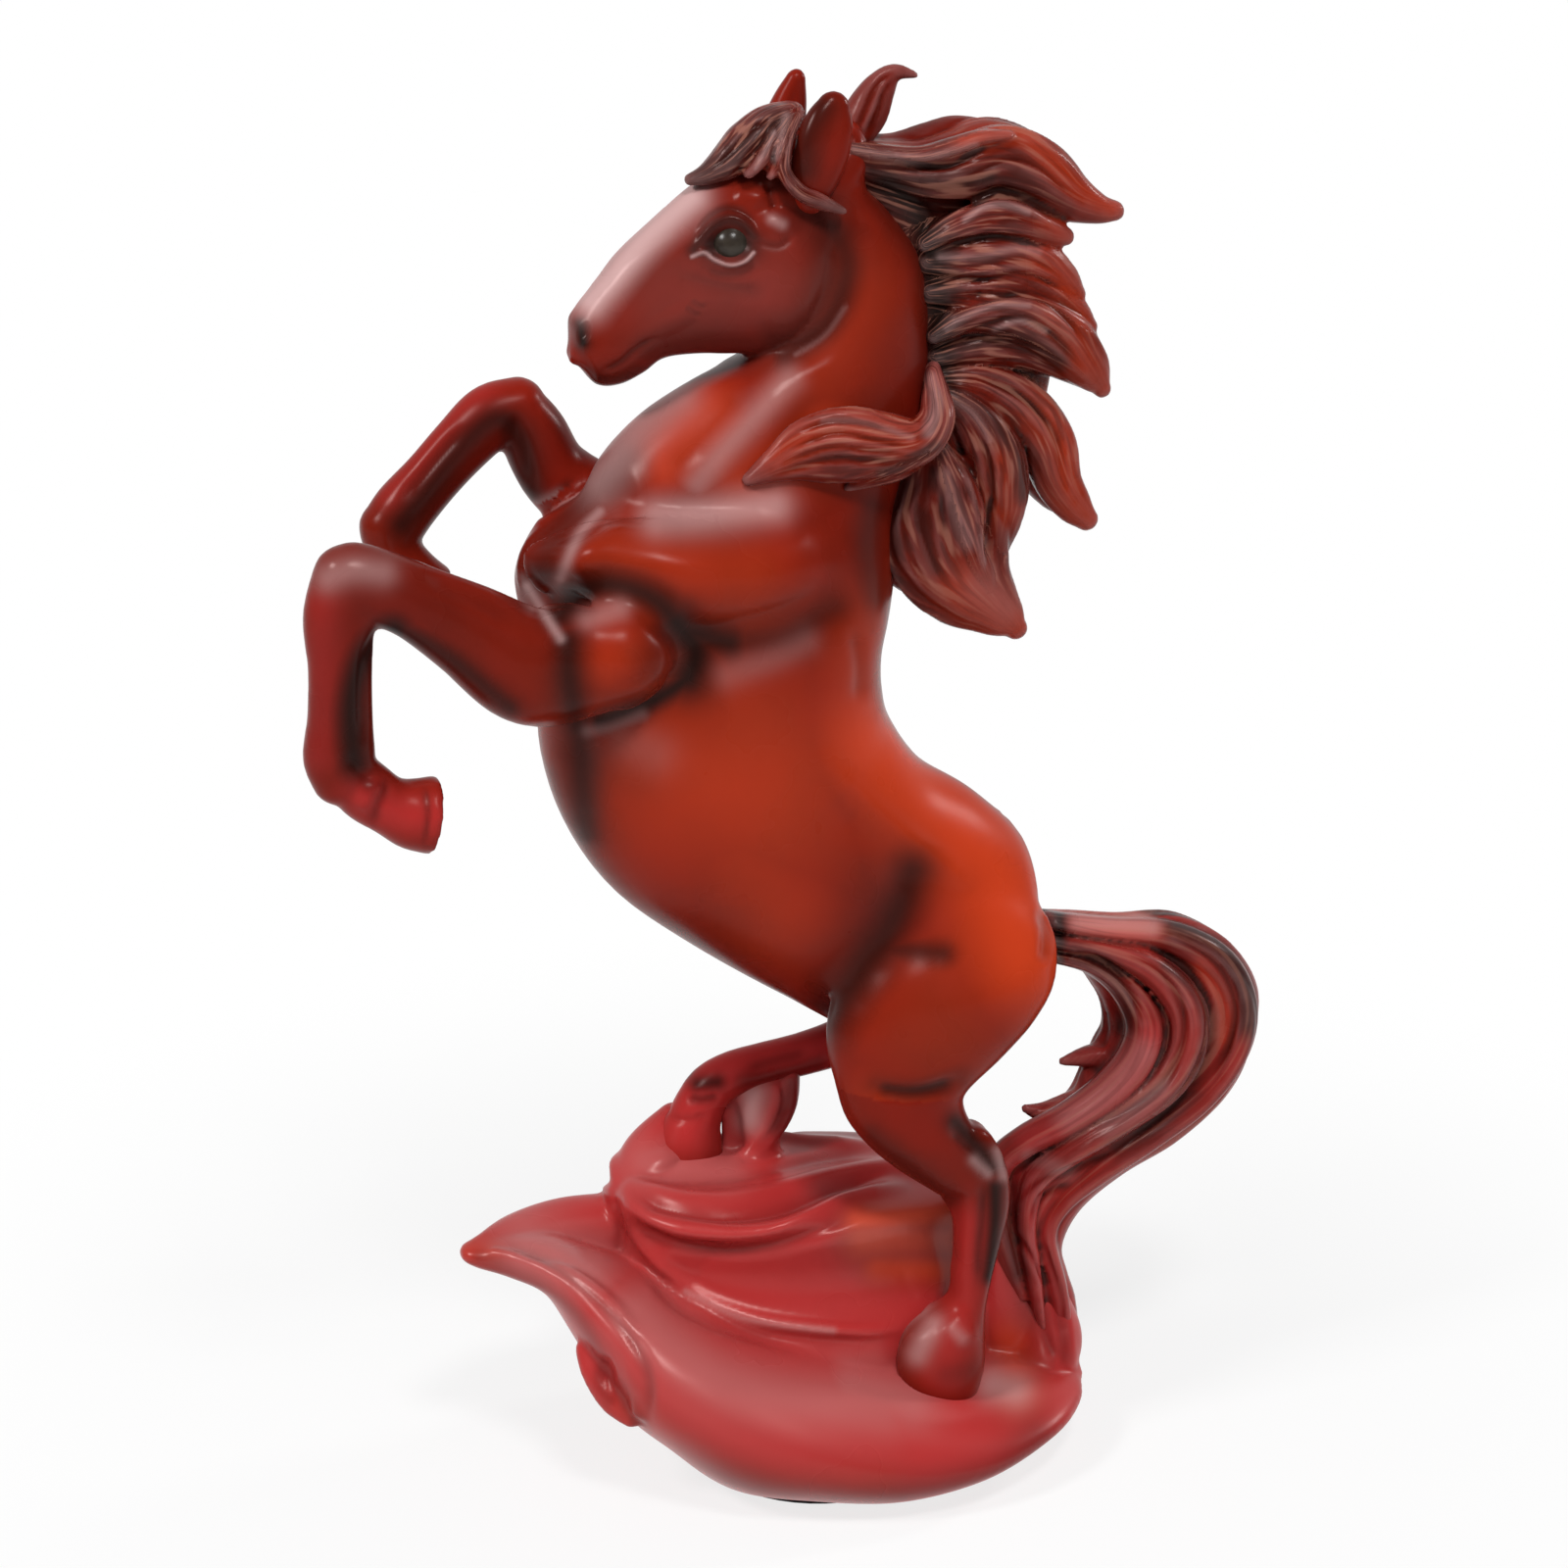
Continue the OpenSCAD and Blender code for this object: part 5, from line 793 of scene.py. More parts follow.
class Carving:
    """A mesh's surface as arrays, to be cut and painted by strokes drawn in the photograph's view

    A plane is the y in mm that strokes mirror in, and without one they stay on the side that faces the camera.
    """

    def __init__(self, mesh):
        self.mesh = mesh
        self.pairs = fetched(mesh.edges, "vertices", 2, np.int32)
        self.paint = np.zeros((len(mesh.vertices), 4))
        self.read()

    def read(self):
        """Takes the places and normals from the mesh"""
        self.place = fetched(self.mesh.vertices, "co", 3)
        self.normal = fetched(self.mesh.vertex_normals, "vector", 3)
        self.seen = {}

    def write(self):
        """Puts the places back into the mesh"""
        self.mesh.vertices.foreach_set("co", self.place.ravel())
        self.mesh.update()
        self.read()

    def view(self, plane=None, flip=False):
        """Pixels of the vertices and how far each faces the camera, on the plane's near side or its far one flipped"""
        if (plane, flip) not in self.seen:
            place, normal = self.place.copy(), self.normal.copy()
            if flip:
                place[:, 1] = 2 * plane * MM - place[:, 1]
                normal[:, 1] *= -1
            turned = ((photo_axes()[0] - place) * normal).sum(1)
            facing = np.clip(turned / (FULL_FACING * PHOTO_DISTANCE), 0, 1)
            if plane is not None:
                facing *= np.clip(1 - (place[:, 1] / MM - plane) / PLANE_FADE, 0, 1)
            if flip and plane == 0:
                behind = np.clip((place[:, 0] / MM - CHEST_FRONT) / CHEST_FADE, 0, 1)
                facing *= np.where(place[:, 2] > GROUND + CHEST_TOP, 1, behind)
            self.seen[plane, flip] = (photo_pixels(place), facing)
        return self.seen[plane, flip]

    def views(self, plane):
        """The straight view, and the flipped one where there is a plane"""
        return [self.view()] if plane is None else [self.view(plane), self.view(plane, True)]

    def near(self, points, reach, on, plane):
        """For each view: vertices near a stroke, their signed distance in pixels and their place along it"""
        line = spline(points, np.linspace(0, 1, LINE_STEPS * len(points)))
        low, high = line.min(0) - STROKE_REACH * reach, line.max(0) + STROKE_REACH * reach
        a, b = line[:-1], line[1:]
        d = b - a
        start = np.concatenate([[0], np.cumsum(np.linalg.norm(d, axis=1))])
        on = np.broadcast_to(on, len(self.place))
        for pixels, facing in self.views(plane):
            hit = np.nonzero(((pixels > low) & (pixels < high)).all(1) & (facing > 0) & on)[0]
            if not len(hit):
                continue
            v = pixels[hit][:, None, :] - a[None]
            along = np.clip((v * d).sum(2) / (d * d).sum(1), 0, 1)
            far = np.linalg.norm(v - along[:, :, None] * d, axis=2)
            k = far.argmin(1)
            rows = np.arange(len(hit))
            side = np.sign(d[k, 0] * v[rows, k, 1] - d[k, 1] * v[rows, k, 0])
            travel = (start[k] + along[rows, k] * np.linalg.norm(d[k], axis=1)) / start[-1]
            yield hit, far[rows, k] * side, travel, facing[hit]

    def raise_paint(self, channel, value):
        """Lets a layer of paint be at least as strong as the value"""
        self.paint[:, channel] = np.maximum(self.paint[:, channel], value)

    def cut(self, strokes, on=True, plane=0.0, taper=0.2):
        """Cuts grooves, raises ridges or raises one side of a stroke over the other; dark wash, partly painted shade,
        darkens them
        """
        for kind, width, depth, wash_and_shade, points in strokes:
            push = np.zeros(len(self.place))
            dark = np.zeros(len(self.place))
            for hit, far, travel, facing in self.near(points, width, on, plane):
                x = far / width
                ends = np.clip(np.minimum(travel, 1 - travel) / taper, 0, 1)
                round_form = np.exp(-x * x)
                form = {"groove": -round_form, "ridge": round_form, "edge": x * np.exp(0.5 - 0.5 * x * x)}[kind]
                value = form * depth * MM * facing * ends
                keep = np.abs(value) > np.abs(push[hit])
                push[hit[keep]] = value[keep]
                dark[hit] = np.maximum(dark[hit], np.exp(-x * x / WASH_AND_SHADE_SPREAD) * facing * ends)
            self.place += self.normal * push[:, None]
            self.raise_paint(WASH_AND_SHADE, wash_and_shade * dark)

    def swell(self, lumps, on=True, plane=0.0):
        """Raises oval lumps, or sinks them"""
        for middle, size, turn, height in lumps:
            push = np.zeros(len(self.place))
            c, s = math.cos(math.radians(turn)), math.sin(math.radians(turn))
            for pixels, facing in self.views(plane):
                v = pixels - np.array(middle)
                r2 = ((v[:, 0] * c + v[:, 1] * s) / size[0]) ** 2 + ((v[:, 1] * c - v[:, 0] * s) / size[1]) ** 2
                push = np.maximum(push, np.clip(1 - r2, 0, 1) ** 2 * facing * on)
            self.place += self.normal * (push * height * MM)[:, None]

    def brush(self, marks, on=True, plane=0.0):
        """Paints along strokes"""
        for channel, width, amount, points in marks:
            value = np.zeros(len(self.place))
            for hit, far, _, facing in self.near(points, width, on, plane):
                value[hit] = np.maximum(value[hit], np.exp(-(far / width) ** 2) * facing)
            self.raise_paint(channel, amount * value)

    def ease(self, lines, times, on=True, strength=0.65):
        """Blends the forms along strokes, each a width in pixels and its points"""
        share = np.zeros(len(self.place))
        for width, points in lines:
            for hit, far, _, _ in self.near(points, width, on, 0.0):
                share[hit] = np.maximum(share[hit], strength * np.exp(-(far / width) ** 4))
        self.soften(times, share)

    def at(self, px, py, count=12):
        """Place and normal of the surface seen at a pixel, out of the nearest vertices"""
        pixels, facing = self.view()
        far = np.linalg.norm(pixels - np.array([px, py]), axis=1) + np.where(facing > 0.2, 0, 1e6)
        near = np.argsort(far)[:count]
        return self.place[near].mean(0), unit(self.normal[near].mean(0))

    def soften(self, times, share=0.5, back=0.0):
        """Evens out the surface; back undoes the shrinking"""
        for _ in range(times):
            self.place = spread(self.place, self.pairs, 1, share)
            if back:
                self.place = spread(self.place, self.pairs, 1, -back * share)
        self.write()

    def hollow_wash_and_shade(self, strength, times=2, limit=1.0, ridge_dust_and_highlight=0.0):
        """Dark wash and painted shade that stay in the hollows of the surface, and pale paint rubbed over its ridges
        that also serves as painted highlight
        """
        mean = spread(self.place, self.pairs, times, 1.0) - self.place
        step = np.linalg.norm(self.place[self.pairs[:, 0]] - self.place[self.pairs[:, 1]], axis=1).mean()
        depth = spread((mean * self.normal).sum(1) / step, self.pairs, 2)
        self.raise_paint(WASH_AND_SHADE, np.clip(depth * strength, 0, limit))
        self.raise_paint(DUST_AND_HIGHLIGHT, np.clip(-depth * strength, 0, 1) * ridge_dust_and_highlight)

    def store(self):
        """Keeps the paint as the mesh's own colours: wash with painted shade, ember, rose, and dust with painted
        highlights
        """
        layer = self.mesh.color_attributes.new("paint", "FLOAT_COLOR", "POINT")
        layer.data.foreach_set("color", np.clip(self.paint, 0, 1).astype(np.float32).ravel())


def strands(count, twist, depth, seed):
    """Share of a lock's section that leaves hair grooves running along it, wavy and fading at both ends"""
    def radius(u, t):
        slow = 0.12 * np.sin(2 * math.pi * (2 * u + 0.7 * t + seed))
        quick = 0.07 * np.sin(2 * math.pi * (5 * u - t + 2 * seed))
        phase = count * (u + twist * np.sin(2.2 * t + seed) + 0.25 * (slow + quick)) + seed
        coarse = np.abs(np.sin(math.pi * phase))
        small = np.abs(np.sin(math.pi * (FINE_STRANDS * phase + 0.4 * np.sin(9 * t + seed))))
        fade = np.clip(np.minimum(t / 0.08, (1 - t) / 0.05), 0, 1)
        return 1 - depth * fade * ((1 - coarse ** 0.6) + 0.25 * (1 - small))
    return radius


def ribbon(rows):
    """Rows of a limb from rows drawn in the photo: pixel, y in mm, half width in pixels, half thickness in mm"""
    out = []
    for px, py, y, half, thick in rows:
        x, _, z = photo_point(px, py, y * MM) / MM
        out.append((x, y, z - GROUND / MM, thick, half / PIXELS_PER_MM))
    return out


def shader(name):
    """An empty material with its surface shader"""
    material = bpy.data.materials.new(name)
    material.use_nodes = True
    tree = material.node_tree
    return material, tree, tree.nodes["Principled BSDF"]


def feed(tree, node, values):
    """Sets the numbers and links the sockets of a node's inputs"""
    for name, value in values.items():
        if isinstance(value, bpy.types.NodeSocket):
            tree.links.new(value, node.inputs[name])
        else:
            node.inputs[name].default_value = value


def added(tree, kind, values, **settings):
    """Outputs of a new node with its inputs and settings"""
    node = tree.nodes.new(kind)
    for name, value in settings.items():
        setattr(node, name, value)
    feed(tree, node, values)
    return node.outputs


def object_place(tree):
    """Place in the object's own frame"""
    return added(tree, "ShaderNodeTexCoord", {})["Object"]


def noise(tree, place, scale, detail=2, dimensions="3D"):
    """Noise at a place"""
    values = {"Vector": place, "Scale": scale, "Detail": detail}
    return added(tree, "ShaderNodeTexNoise", values, noise_dimensions=dimensions)["Fac"]


def mixed(tree, first, second, factor):
    """Two colours mixed"""
    first, second = (c if isinstance(c, bpy.types.NodeSocket) else (*c, 1) for c in (first, second))
    return added(tree, "ShaderNodeMix", {"Factor": factor, 6: first, 7: second}, data_type="RGBA")[2]


def ranged(tree, value, low, high, first=0.0, last=1.0):
    """A value brought smoothly from one range into another"""
    values = {"Value": value, "From Min": low, "From Max": high, "To Min": first, "To Max": last}
    return added(tree, "ShaderNodeMapRange", values, interpolation_type="SMOOTHSTEP")["Result"]


def math_node(tree, operation, first, second):
    """Result of two values"""
    return added(tree, "ShaderNodeMath", {0: first, 1: second}, operation=operation)["Value"]


def bumped(tree, **values):
    """Normal of a surface with its height, strength, distance and the normal under it"""
    return added(tree, "ShaderNodeBump", values)["Normal"]


def ramped(tree, value, first, last):
    """A value as a colour between two"""
    ramp = tree.nodes.new("ShaderNodeValToRGB")
    for element, colour in zip(ramp.color_ramp.elements, (first, last)):
        element.color = (*colour, 1)
    feed(tree, ramp, {"Fac": value})
    return ramp.outputs["Color"]


def lacquer_material(name, finish, roughness, gloss, hairs):
    """Mahogany paint with a black wash and painted shade in the hollows, painted highlights and, on the locks, fine
    hairs, under lacquer
    """
    material, tree, surface = shader(name)
    paint = added(tree, "ShaderNodeAttribute", {}, attribute_name="paint")
    layers = added(tree, "ShaderNodeSeparateColor", {"Color": paint["Color"]})
    where = object_place(tree)
    cloud = noise(tree, where, CLOUD_SCALE, 3)
    coat = mixed(tree, finish.mahogany, finish.garnet, ranged(tree, cloud, *CLOUD_RANGE, last=CLOUD_SHARE))
    for tone, share in ((finish.ember, layers["Green"]), (finish.rose, layers["Blue"]),
                        (finish.wash_and_shade, layers["Red"]), (finish.dust_and_highlight, paint["Alpha"])):
        coat = mixed(tree, coat, tone, share)
    skin = {"Height": noise(tree, where, GRAIN_SCALE), **SKIN_BUMP}
    if hairs:
        locks = added(tree, "ShaderNodeAttribute", {}, attribute_name="hair")["Vector"]
        shown = added(tree, "ShaderNodeSeparateXYZ", {"Vector": locks})["Z"]
        line = noise(tree, locks, 1, 1, "2D")
        for tone, limits in ((finish.wash_and_shade, DARK_HAIRS), (finish.combed, PALE_HAIRS)):
            streak = ranged(tree, line, *limits, last=hairs)
            coat = mixed(tree, coat, tone, math_node(tree, "MULTIPLY", streak, shown))
        skin["Normal"] = bumped(tree, Height=math_node(tree, "MULTIPLY", line, shown), **HAIR_BUMP)
    feed(tree, surface, {
        "Base Color": coat, "Roughness": ranged(tree, cloud, *ROUGH_RANGE, roughness - SMOOTHER, roughness + ROUGHER),
        "Normal": bumped(tree, **skin), "Specular IOR Level": gloss, "Specular Tint": (*finish.sheen, 1)})
    return material


def eye_material(finish):
    """Dark glossy paint of the eyes"""
    material, tree, surface = shader("eye_paint")
    tone = ramped(tree, noise(tree, object_place(tree), EYE_SCALE), finish.wash_and_shade, (0.05, 0.04, 0.03))
    feed(tree, surface, {"Base Color": tone, "Roughness": 0.25, "Specular IOR Level": 0.2})
    return material


def plain_material(name, colour, roughness, metallic, scale, stretch, lift):
    """A material of one colour broken up by grain"""
    material, tree, surface = shader(name)
    place = added(tree, "ShaderNodeMapping", {"Vector": object_place(tree), "Scale": stretch})["Vector"]
    grain = noise(tree, place, scale, 4)
    tone = ramped(tree, grain, [c * 0.6 for c in colour], [min(c * 1.3, 1) for c in colour])
    feed(tree, surface, {
        "Base Color": tone, "Roughness": roughness, "Metallic": metallic,
        "Normal": bumped(tree, Height=grain, Strength=lift, Distance=0.0003)})
    return material


def seen_rays(tree, share=None):
    """One for the camera's rays; one, or the share, for those of reflections and of glass; else none"""
    path = added(tree, "ShaderNodeLightPath", {})
    bounced = math_node(tree, "MAXIMUM", path["Is Glossy Ray"], path["Is Transmission Ray"])
    if share:
        bounced = math_node(tree, "MULTIPLY", bounced, share)
    return math_node(tree, "MAXIMUM", path["Is Camera Ray"], bounced)


def floor_material(reach):
    """Pale floor that keeps the shadow near the object and runs out into white"""
    material, tree, surface = shader("pale_floor")
    feed(tree, surface, {
        "Base Color": (FLOOR_TONE, FLOOR_TONE, FLOOR_TONE, 1), "Roughness": 0.9, "Specular IOR Level": 0.0})
    white = added(tree, "ShaderNodeEmission", {})["Emission"]
    length = added(tree, "ShaderNodeVectorMath", {0: object_place(tree)}, operation="LENGTH")["Value"]
    fade = ranged(tree, length, FLOOR_START, reach, FLOOR_SHARE)
    seen = math_node(tree, "MULTIPLY", fade, seen_rays(tree))
    mix = added(tree, "ShaderNodeMixShader", {"Fac": seen, 1: surface.outputs["BSDF"], 2: white})
    feed(tree, tree.nodes["Material Output"], {"Surface": mix["Shader"]})
    return material


def backdrop_nodes(tree, strength):
    """Soft light from all round, with a white backdrop behind the object"""
    around = tree.nodes["Background"]
    feed(tree, around, {"Color": (1, 1, 1, 1), "Strength": strength})
    white = added(tree, "ShaderNodeBackground", {"Strength": 1.0})["Background"]
    way = added(tree, "ShaderNodeTexCoord", {})["Generated"]
    along_y = added(tree, "ShaderNodeSeparateXYZ", {"Vector": way})["Y"]
    seen = seen_rays(tree, ranged(tree, along_y, BACKDROP_START, BACKDROP_FULL))
    mix = added(tree, "ShaderNodeMixShader", {"Fac": seen, 1: around.outputs["Background"], 2: white})
    feed(tree, tree.nodes["World Output"], {"Surface": mix["Shader"]})


def finished(obj, node, material):
    """Smooth-shades a piece, gives it its finish and lets it stand for its casting"""
    for p in obj.data.polygons:
        p.use_smooth = True
    obj.data.materials.clear()
    obj.data.materials.append(material)
    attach(obj, BODY)
    if node:
        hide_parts(node)


def lacquer(name="mahogany_lacquer"):
    """The lacquered paint of the horse, of its hair, or the plinth's more satin one, made once"""
    finish = bpy.context.scene.statuette_finish
    roughness, gloss = finish.roughness, finish.gloss
    if name == "rose_lacquer":
        roughness, gloss = finish.satin_roughness, finish.satin_gloss
    hairs = finish.hairs if name == "hair_lacquer" else 0
    return bpy.data.materials.get(name) or lacquer_material(name, finish, roughness, gloss, hairs)


def beyond(points, joint):
    """Which points lie on the far side of a joint plane"""
    place = np.array(joint[0]) * MM + np.array([0, 0, GROUND])
    return (points - place) @ np.array(joint[1]) > 0


def casting_of(points):
    """Number of the casting that each point of the horse belongs to; bounds in mm keep the joints apart"""
    x, y, z = points.T / MM
    z = z - GROUND / MM
    throat = (x > -58) & (z > 205) & (y < 9.5)
    part = np.full(len(points), TRUNK)
    part[beyond(points, NECK_JOINT) & (x > -80)] = NECK
    part[beyond(points, LEFT_FORE_JOINT) & (y < -9) & (x < -62)] = LEFT_FORE
    part[beyond(points, RIGHT_FORE_JOINT) & (y > 8) & (x < -44) & (z > 170) & ~throat] = RIGHT_FORE
    part[beyond(points, LEFT_HIND_JOINT) & (y < 0) & (z < 90)] = LEFT_HIND
    part[beyond(points, RIGHT_HIND_JOINT) & (y > 0) & (z < 95)] = RIGHT_HIND
    return part


def horse_forms():
    """Lofts of the horse without its hair"""
    solids = [loft(domed(belt(rows, rings)), sides) for rows, rings, sides in HORSE_BELTS]
    solids += [loft(domed(mirrored(limb(rows, SHORT_RINGS))), LIMB_SIDES) for rows in (SHOULDER, ELBOW, CHEEK)]
    solids += limbs((RIGHT_SHOULDER, RIGHT_ELBOW, CHEEK, LEFT_FOREARM, LEFT_FORE_SHANK, RIGHT_FOREARM,
                     RIGHT_FORE_SHANK))
    solids += limbs((LEFT_FORE_HOOF, RIGHT_FORE_HOOF, RIGHT_SHANK), SHORT_RINGS, last=False)
    solids.append(loft(domed(belt(LEFT_SHANK, LIMB_RINGS), last=False), LIMB_SIDES))
    return solids


def carve_horse(carving, part):
    """Muscles, joints and face, by strokes in the photograph's pixels"""
    body = (part == TRUNK) | (part == NECK) | (part == LEFT_FORE)
    head = part == NECK
    legs = {name: part == CASTINGS.index(name) for name in LEG_STROKES}
    carving.soften(times=26, share=np.where(body, 0.6, 0.35), back=1.03)
    carving.ease(BODY_BLENDS, times=70, on=body)
    carving.swell(BODY_LUMPS, body)
    carving.write()
    carving.cut(BODY_STROKES, body)
    for name, (plane, strokes) in LEG_STROKES.items():
        carving.cut(strokes, legs[name], plane)
    carving.write()
    carving.soften(times=8, share=0.5, back=0.9)
    carving.swell(HEAD_LUMPS, head)
    carving.cut(HEAD_STROKES, head)
    carving.write()
    # Dark wash and painted shade in the surface's hollows, then painted shade and painted highlights by brush
    carving.hollow_wash_and_shade(strength=1.0, limit=0.8)
    carving.brush(BODY_PAINT, body)
    carving.brush(NEAR_PAINT, body, None)
    carving.brush(HEAD_PAINT, head)
    for name, marks in LEG_PAINT.items():
        carving.brush(marks, legs[name], LEG_STROKES[name][0])


def finer_head(mesh):
    """Splits the skin's faces round the eyes, the nostrils and the mouth"""
    at = fetched(mesh.vertices, "co", 3)
    near = np.zeros(len(at), bool)
    low, high = FACE_WINDOW
    for side in (1, -1):
        pixels = photo_pixels(at * np.array([1, side, 1]))
        near |= ((pixels > low) & (pixels < high)).all(1) & (at[:, 1] * side < -0.5 * MM)
    near &= at[:, 2] > GROUND + FACE_FLOOR
    bm = bmesh.new()
    bm.from_mesh(mesh)
    bm.verts.ensure_lookup_table()
    edges = [e for e in bm.edges if near[e.verts[0].index] and near[e.verts[1].index]]
    bmesh.ops.subdivide_edges(bm, edges=edges, cuts=1, use_grid_fill=True, smooth=0)
    bmesh.ops.triangulate(bm, faces=[f for f in bm.faces if len(f.verts) > 4])
    bm.to_mesh(mesh)
    bm.free()


def comb(carving, ribbons, plane, fine, share):
    """Gives the surface its place across and along the locks, and how far their fine hairs show there"""
    best = np.full(len(carving.place), COMB_WORST)
    hair = np.zeros((len(best), 3))
    for k, rows in enumerate(np.array(r, float) for r in ribbons):
        t = np.linspace(0, 1, len(rows))
        for hit, far, travel, facing in carving.near(rows[:, :2], COMB_REACH * rows[:, 3].max(), True, plane):
            y, half, thick = (np.interp(travel, t, rows[:, column]) for column in (2, 3, 4))
            across = far / half
            depth = np.abs(np.abs(carving.place[hit, 1]) / MM + y - thick)
            score = np.abs(across) + depth / COMB_DEPTH
            keep = score < best[hit]
            best[hit[keep]] = score[keep]
            shown = share * facing * np.clip((1 - travel) / COMB_FADE, COMB_LEAST, 1)
            hair[hit[keep]] = np.stack([across * fine + COMB_STEP * k, COMB_LENGTH * travel, shown], 1)[keep]
    layer = carving.mesh.attributes.new("hair", "FLOAT_VECTOR", "POINT")
    layer.data.foreach_set("vector", hair.astype(np.float32).ravel())


def carved_hair(parts, ribbons, name, strokes, marks, plane, base, fine=5.0, share=1.0):
    """One cast mass of hair out of its locks, with its lines cut in and its paint"""
    hair = fused(joined(parts, name), bpy.context.scene.statuette_sizes.hair_grain)
    carving = Carving(hair.data)
    carving.soften(times=4, share=0.5, back=0.97)
    comb(carving, ribbons, plane, fine, share)
    carving.cut(strokes, plane=plane)
    carving.write()
    carving.soften(times=1, share=0.4)
    carving.raise_paint(*base)
    # Painted shade in the hollows between the locks, and pale paint rubbed over their ridges that also stands for
    # painted highlights
    carving.hollow_wash_and_shade(strength=2.0, times=4, limit=0.9, ridge_dust_and_highlight=0.2)
    carving.brush(marks, plane=plane)
    carving.store()
    return hair


def ear_hollow(u, t):
    """Share of an ear's section: hollow towards the front"""
    turn = np.angle(np.exp(2j * math.pi * (u - 0.5)))
    ends = np.clip(np.minimum(t / 0.3, (1 - t) / 0.25), 0, 1)
    return 1 - EAR_DEPTH * np.exp(-(turn / EAR_WIDTH) ** 2) * ends


def split_castings(mesh):
    """Cuts the carved horse along its glue joints, one object a casting"""
    bm = bmesh.new()
    bm.from_mesh(mesh)
    for joint in JOINTS:
        place = Vector(joint[0]) * MM + Vector((0, 0, GROUND))
        way = Vector(joint[1]).normalized()
        near = [f for f in bm.faces if abs((f.calc_center_median() - place).dot(way)) < CUT_BAND
                and (joint is NECK_JOINT or (f.calc_center_median() - place).length < CUT_REACH)]
        geometry = list({g for f in near for g in (*f.verts, *f.edges)}) + near
        bmesh.ops.bisect_plane(bm, geom=geometry, dist=1e-6, plane_co=place, plane_no=way)
    bm.normal_update()
    layer = bm.verts.layers.float_vector.new("skin_normal")
    for v in bm.verts:
        v[layer] = v.normal
    bm.faces.ensure_lookup_table()
    part = casting_of(np.array([f.calc_center_median()[:] for f in bm.faces]))
    whole = bpy.data.meshes.new("horse_split")
    bm.to_mesh(whole)
    bm.free()
    pieces = []
    for number, name in enumerate(CASTINGS):
        piece = bmesh.new()
        piece.from_mesh(whole)
        piece.faces.ensure_lookup_table()
        bmesh.ops.delete(piece, geom=[f for f, p in zip(piece.faces, part) if p != number], context="FACES")
        capped(piece)
        pieces.append(joined([piece], name + "_carved"))
    bpy.data.meshes.remove(whole)
    return pieces


def unbroken_shading(mesh):
    """Lets the shading run on across the glue joints"""
    skin = mesh.attributes["skin_normal"]
    mesh.normals_split_custom_set_from_vertices(fetched(skin.data, "vector", 3, np.float32).tolist())
    mesh.attributes.remove(mesh.attributes["skin_normal"])


class StatuetteSizes(bpy.types.PropertyGroup):
    """Sizes of the carving"""
    grain: bpy.props.FloatProperty(name="Grain", description="Edge length of the carved skin's faces",
                                   default=0.7 * MM, min=0.4 * MM, max=2 * MM, unit="LENGTH")
    eye: bpy.props.FloatProperty(name="Eye", description="Radius of an eyeball",
                                 default=4.6 * MM, min=2 * MM, max=6 * MM, unit="LENGTH")
    eye_bulge: bpy.props.FloatProperty(name="Eye bulge", description="How far an eyeball stands out of its socket",
                                       default=2.2 * MM, min=0.0, max=4 * MM, unit="LENGTH")
    hair_grain: bpy.props.FloatProperty(name="Hair grain", description="Edge length of the faces of the hair",
                                        default=0.55 * MM, min=0.4 * MM, max=2 * MM, unit="LENGTH")
    hair_depth: bpy.props.FloatProperty(name="Hair depth", description="Depth of the hair grooves as a share of a lock",
                                        default=0.1, min=0.0, max=0.4, subtype="FACTOR")
    hair_strands: bpy.props.IntProperty(name="Hair strands", description="Strands round a lock of the mane",
                                        default=8, min=4, max=24)
    tail_strands: bpy.props.IntProperty(name="Tail strands", description="Strands round the tail",
                                        default=11, min=4, max=30)


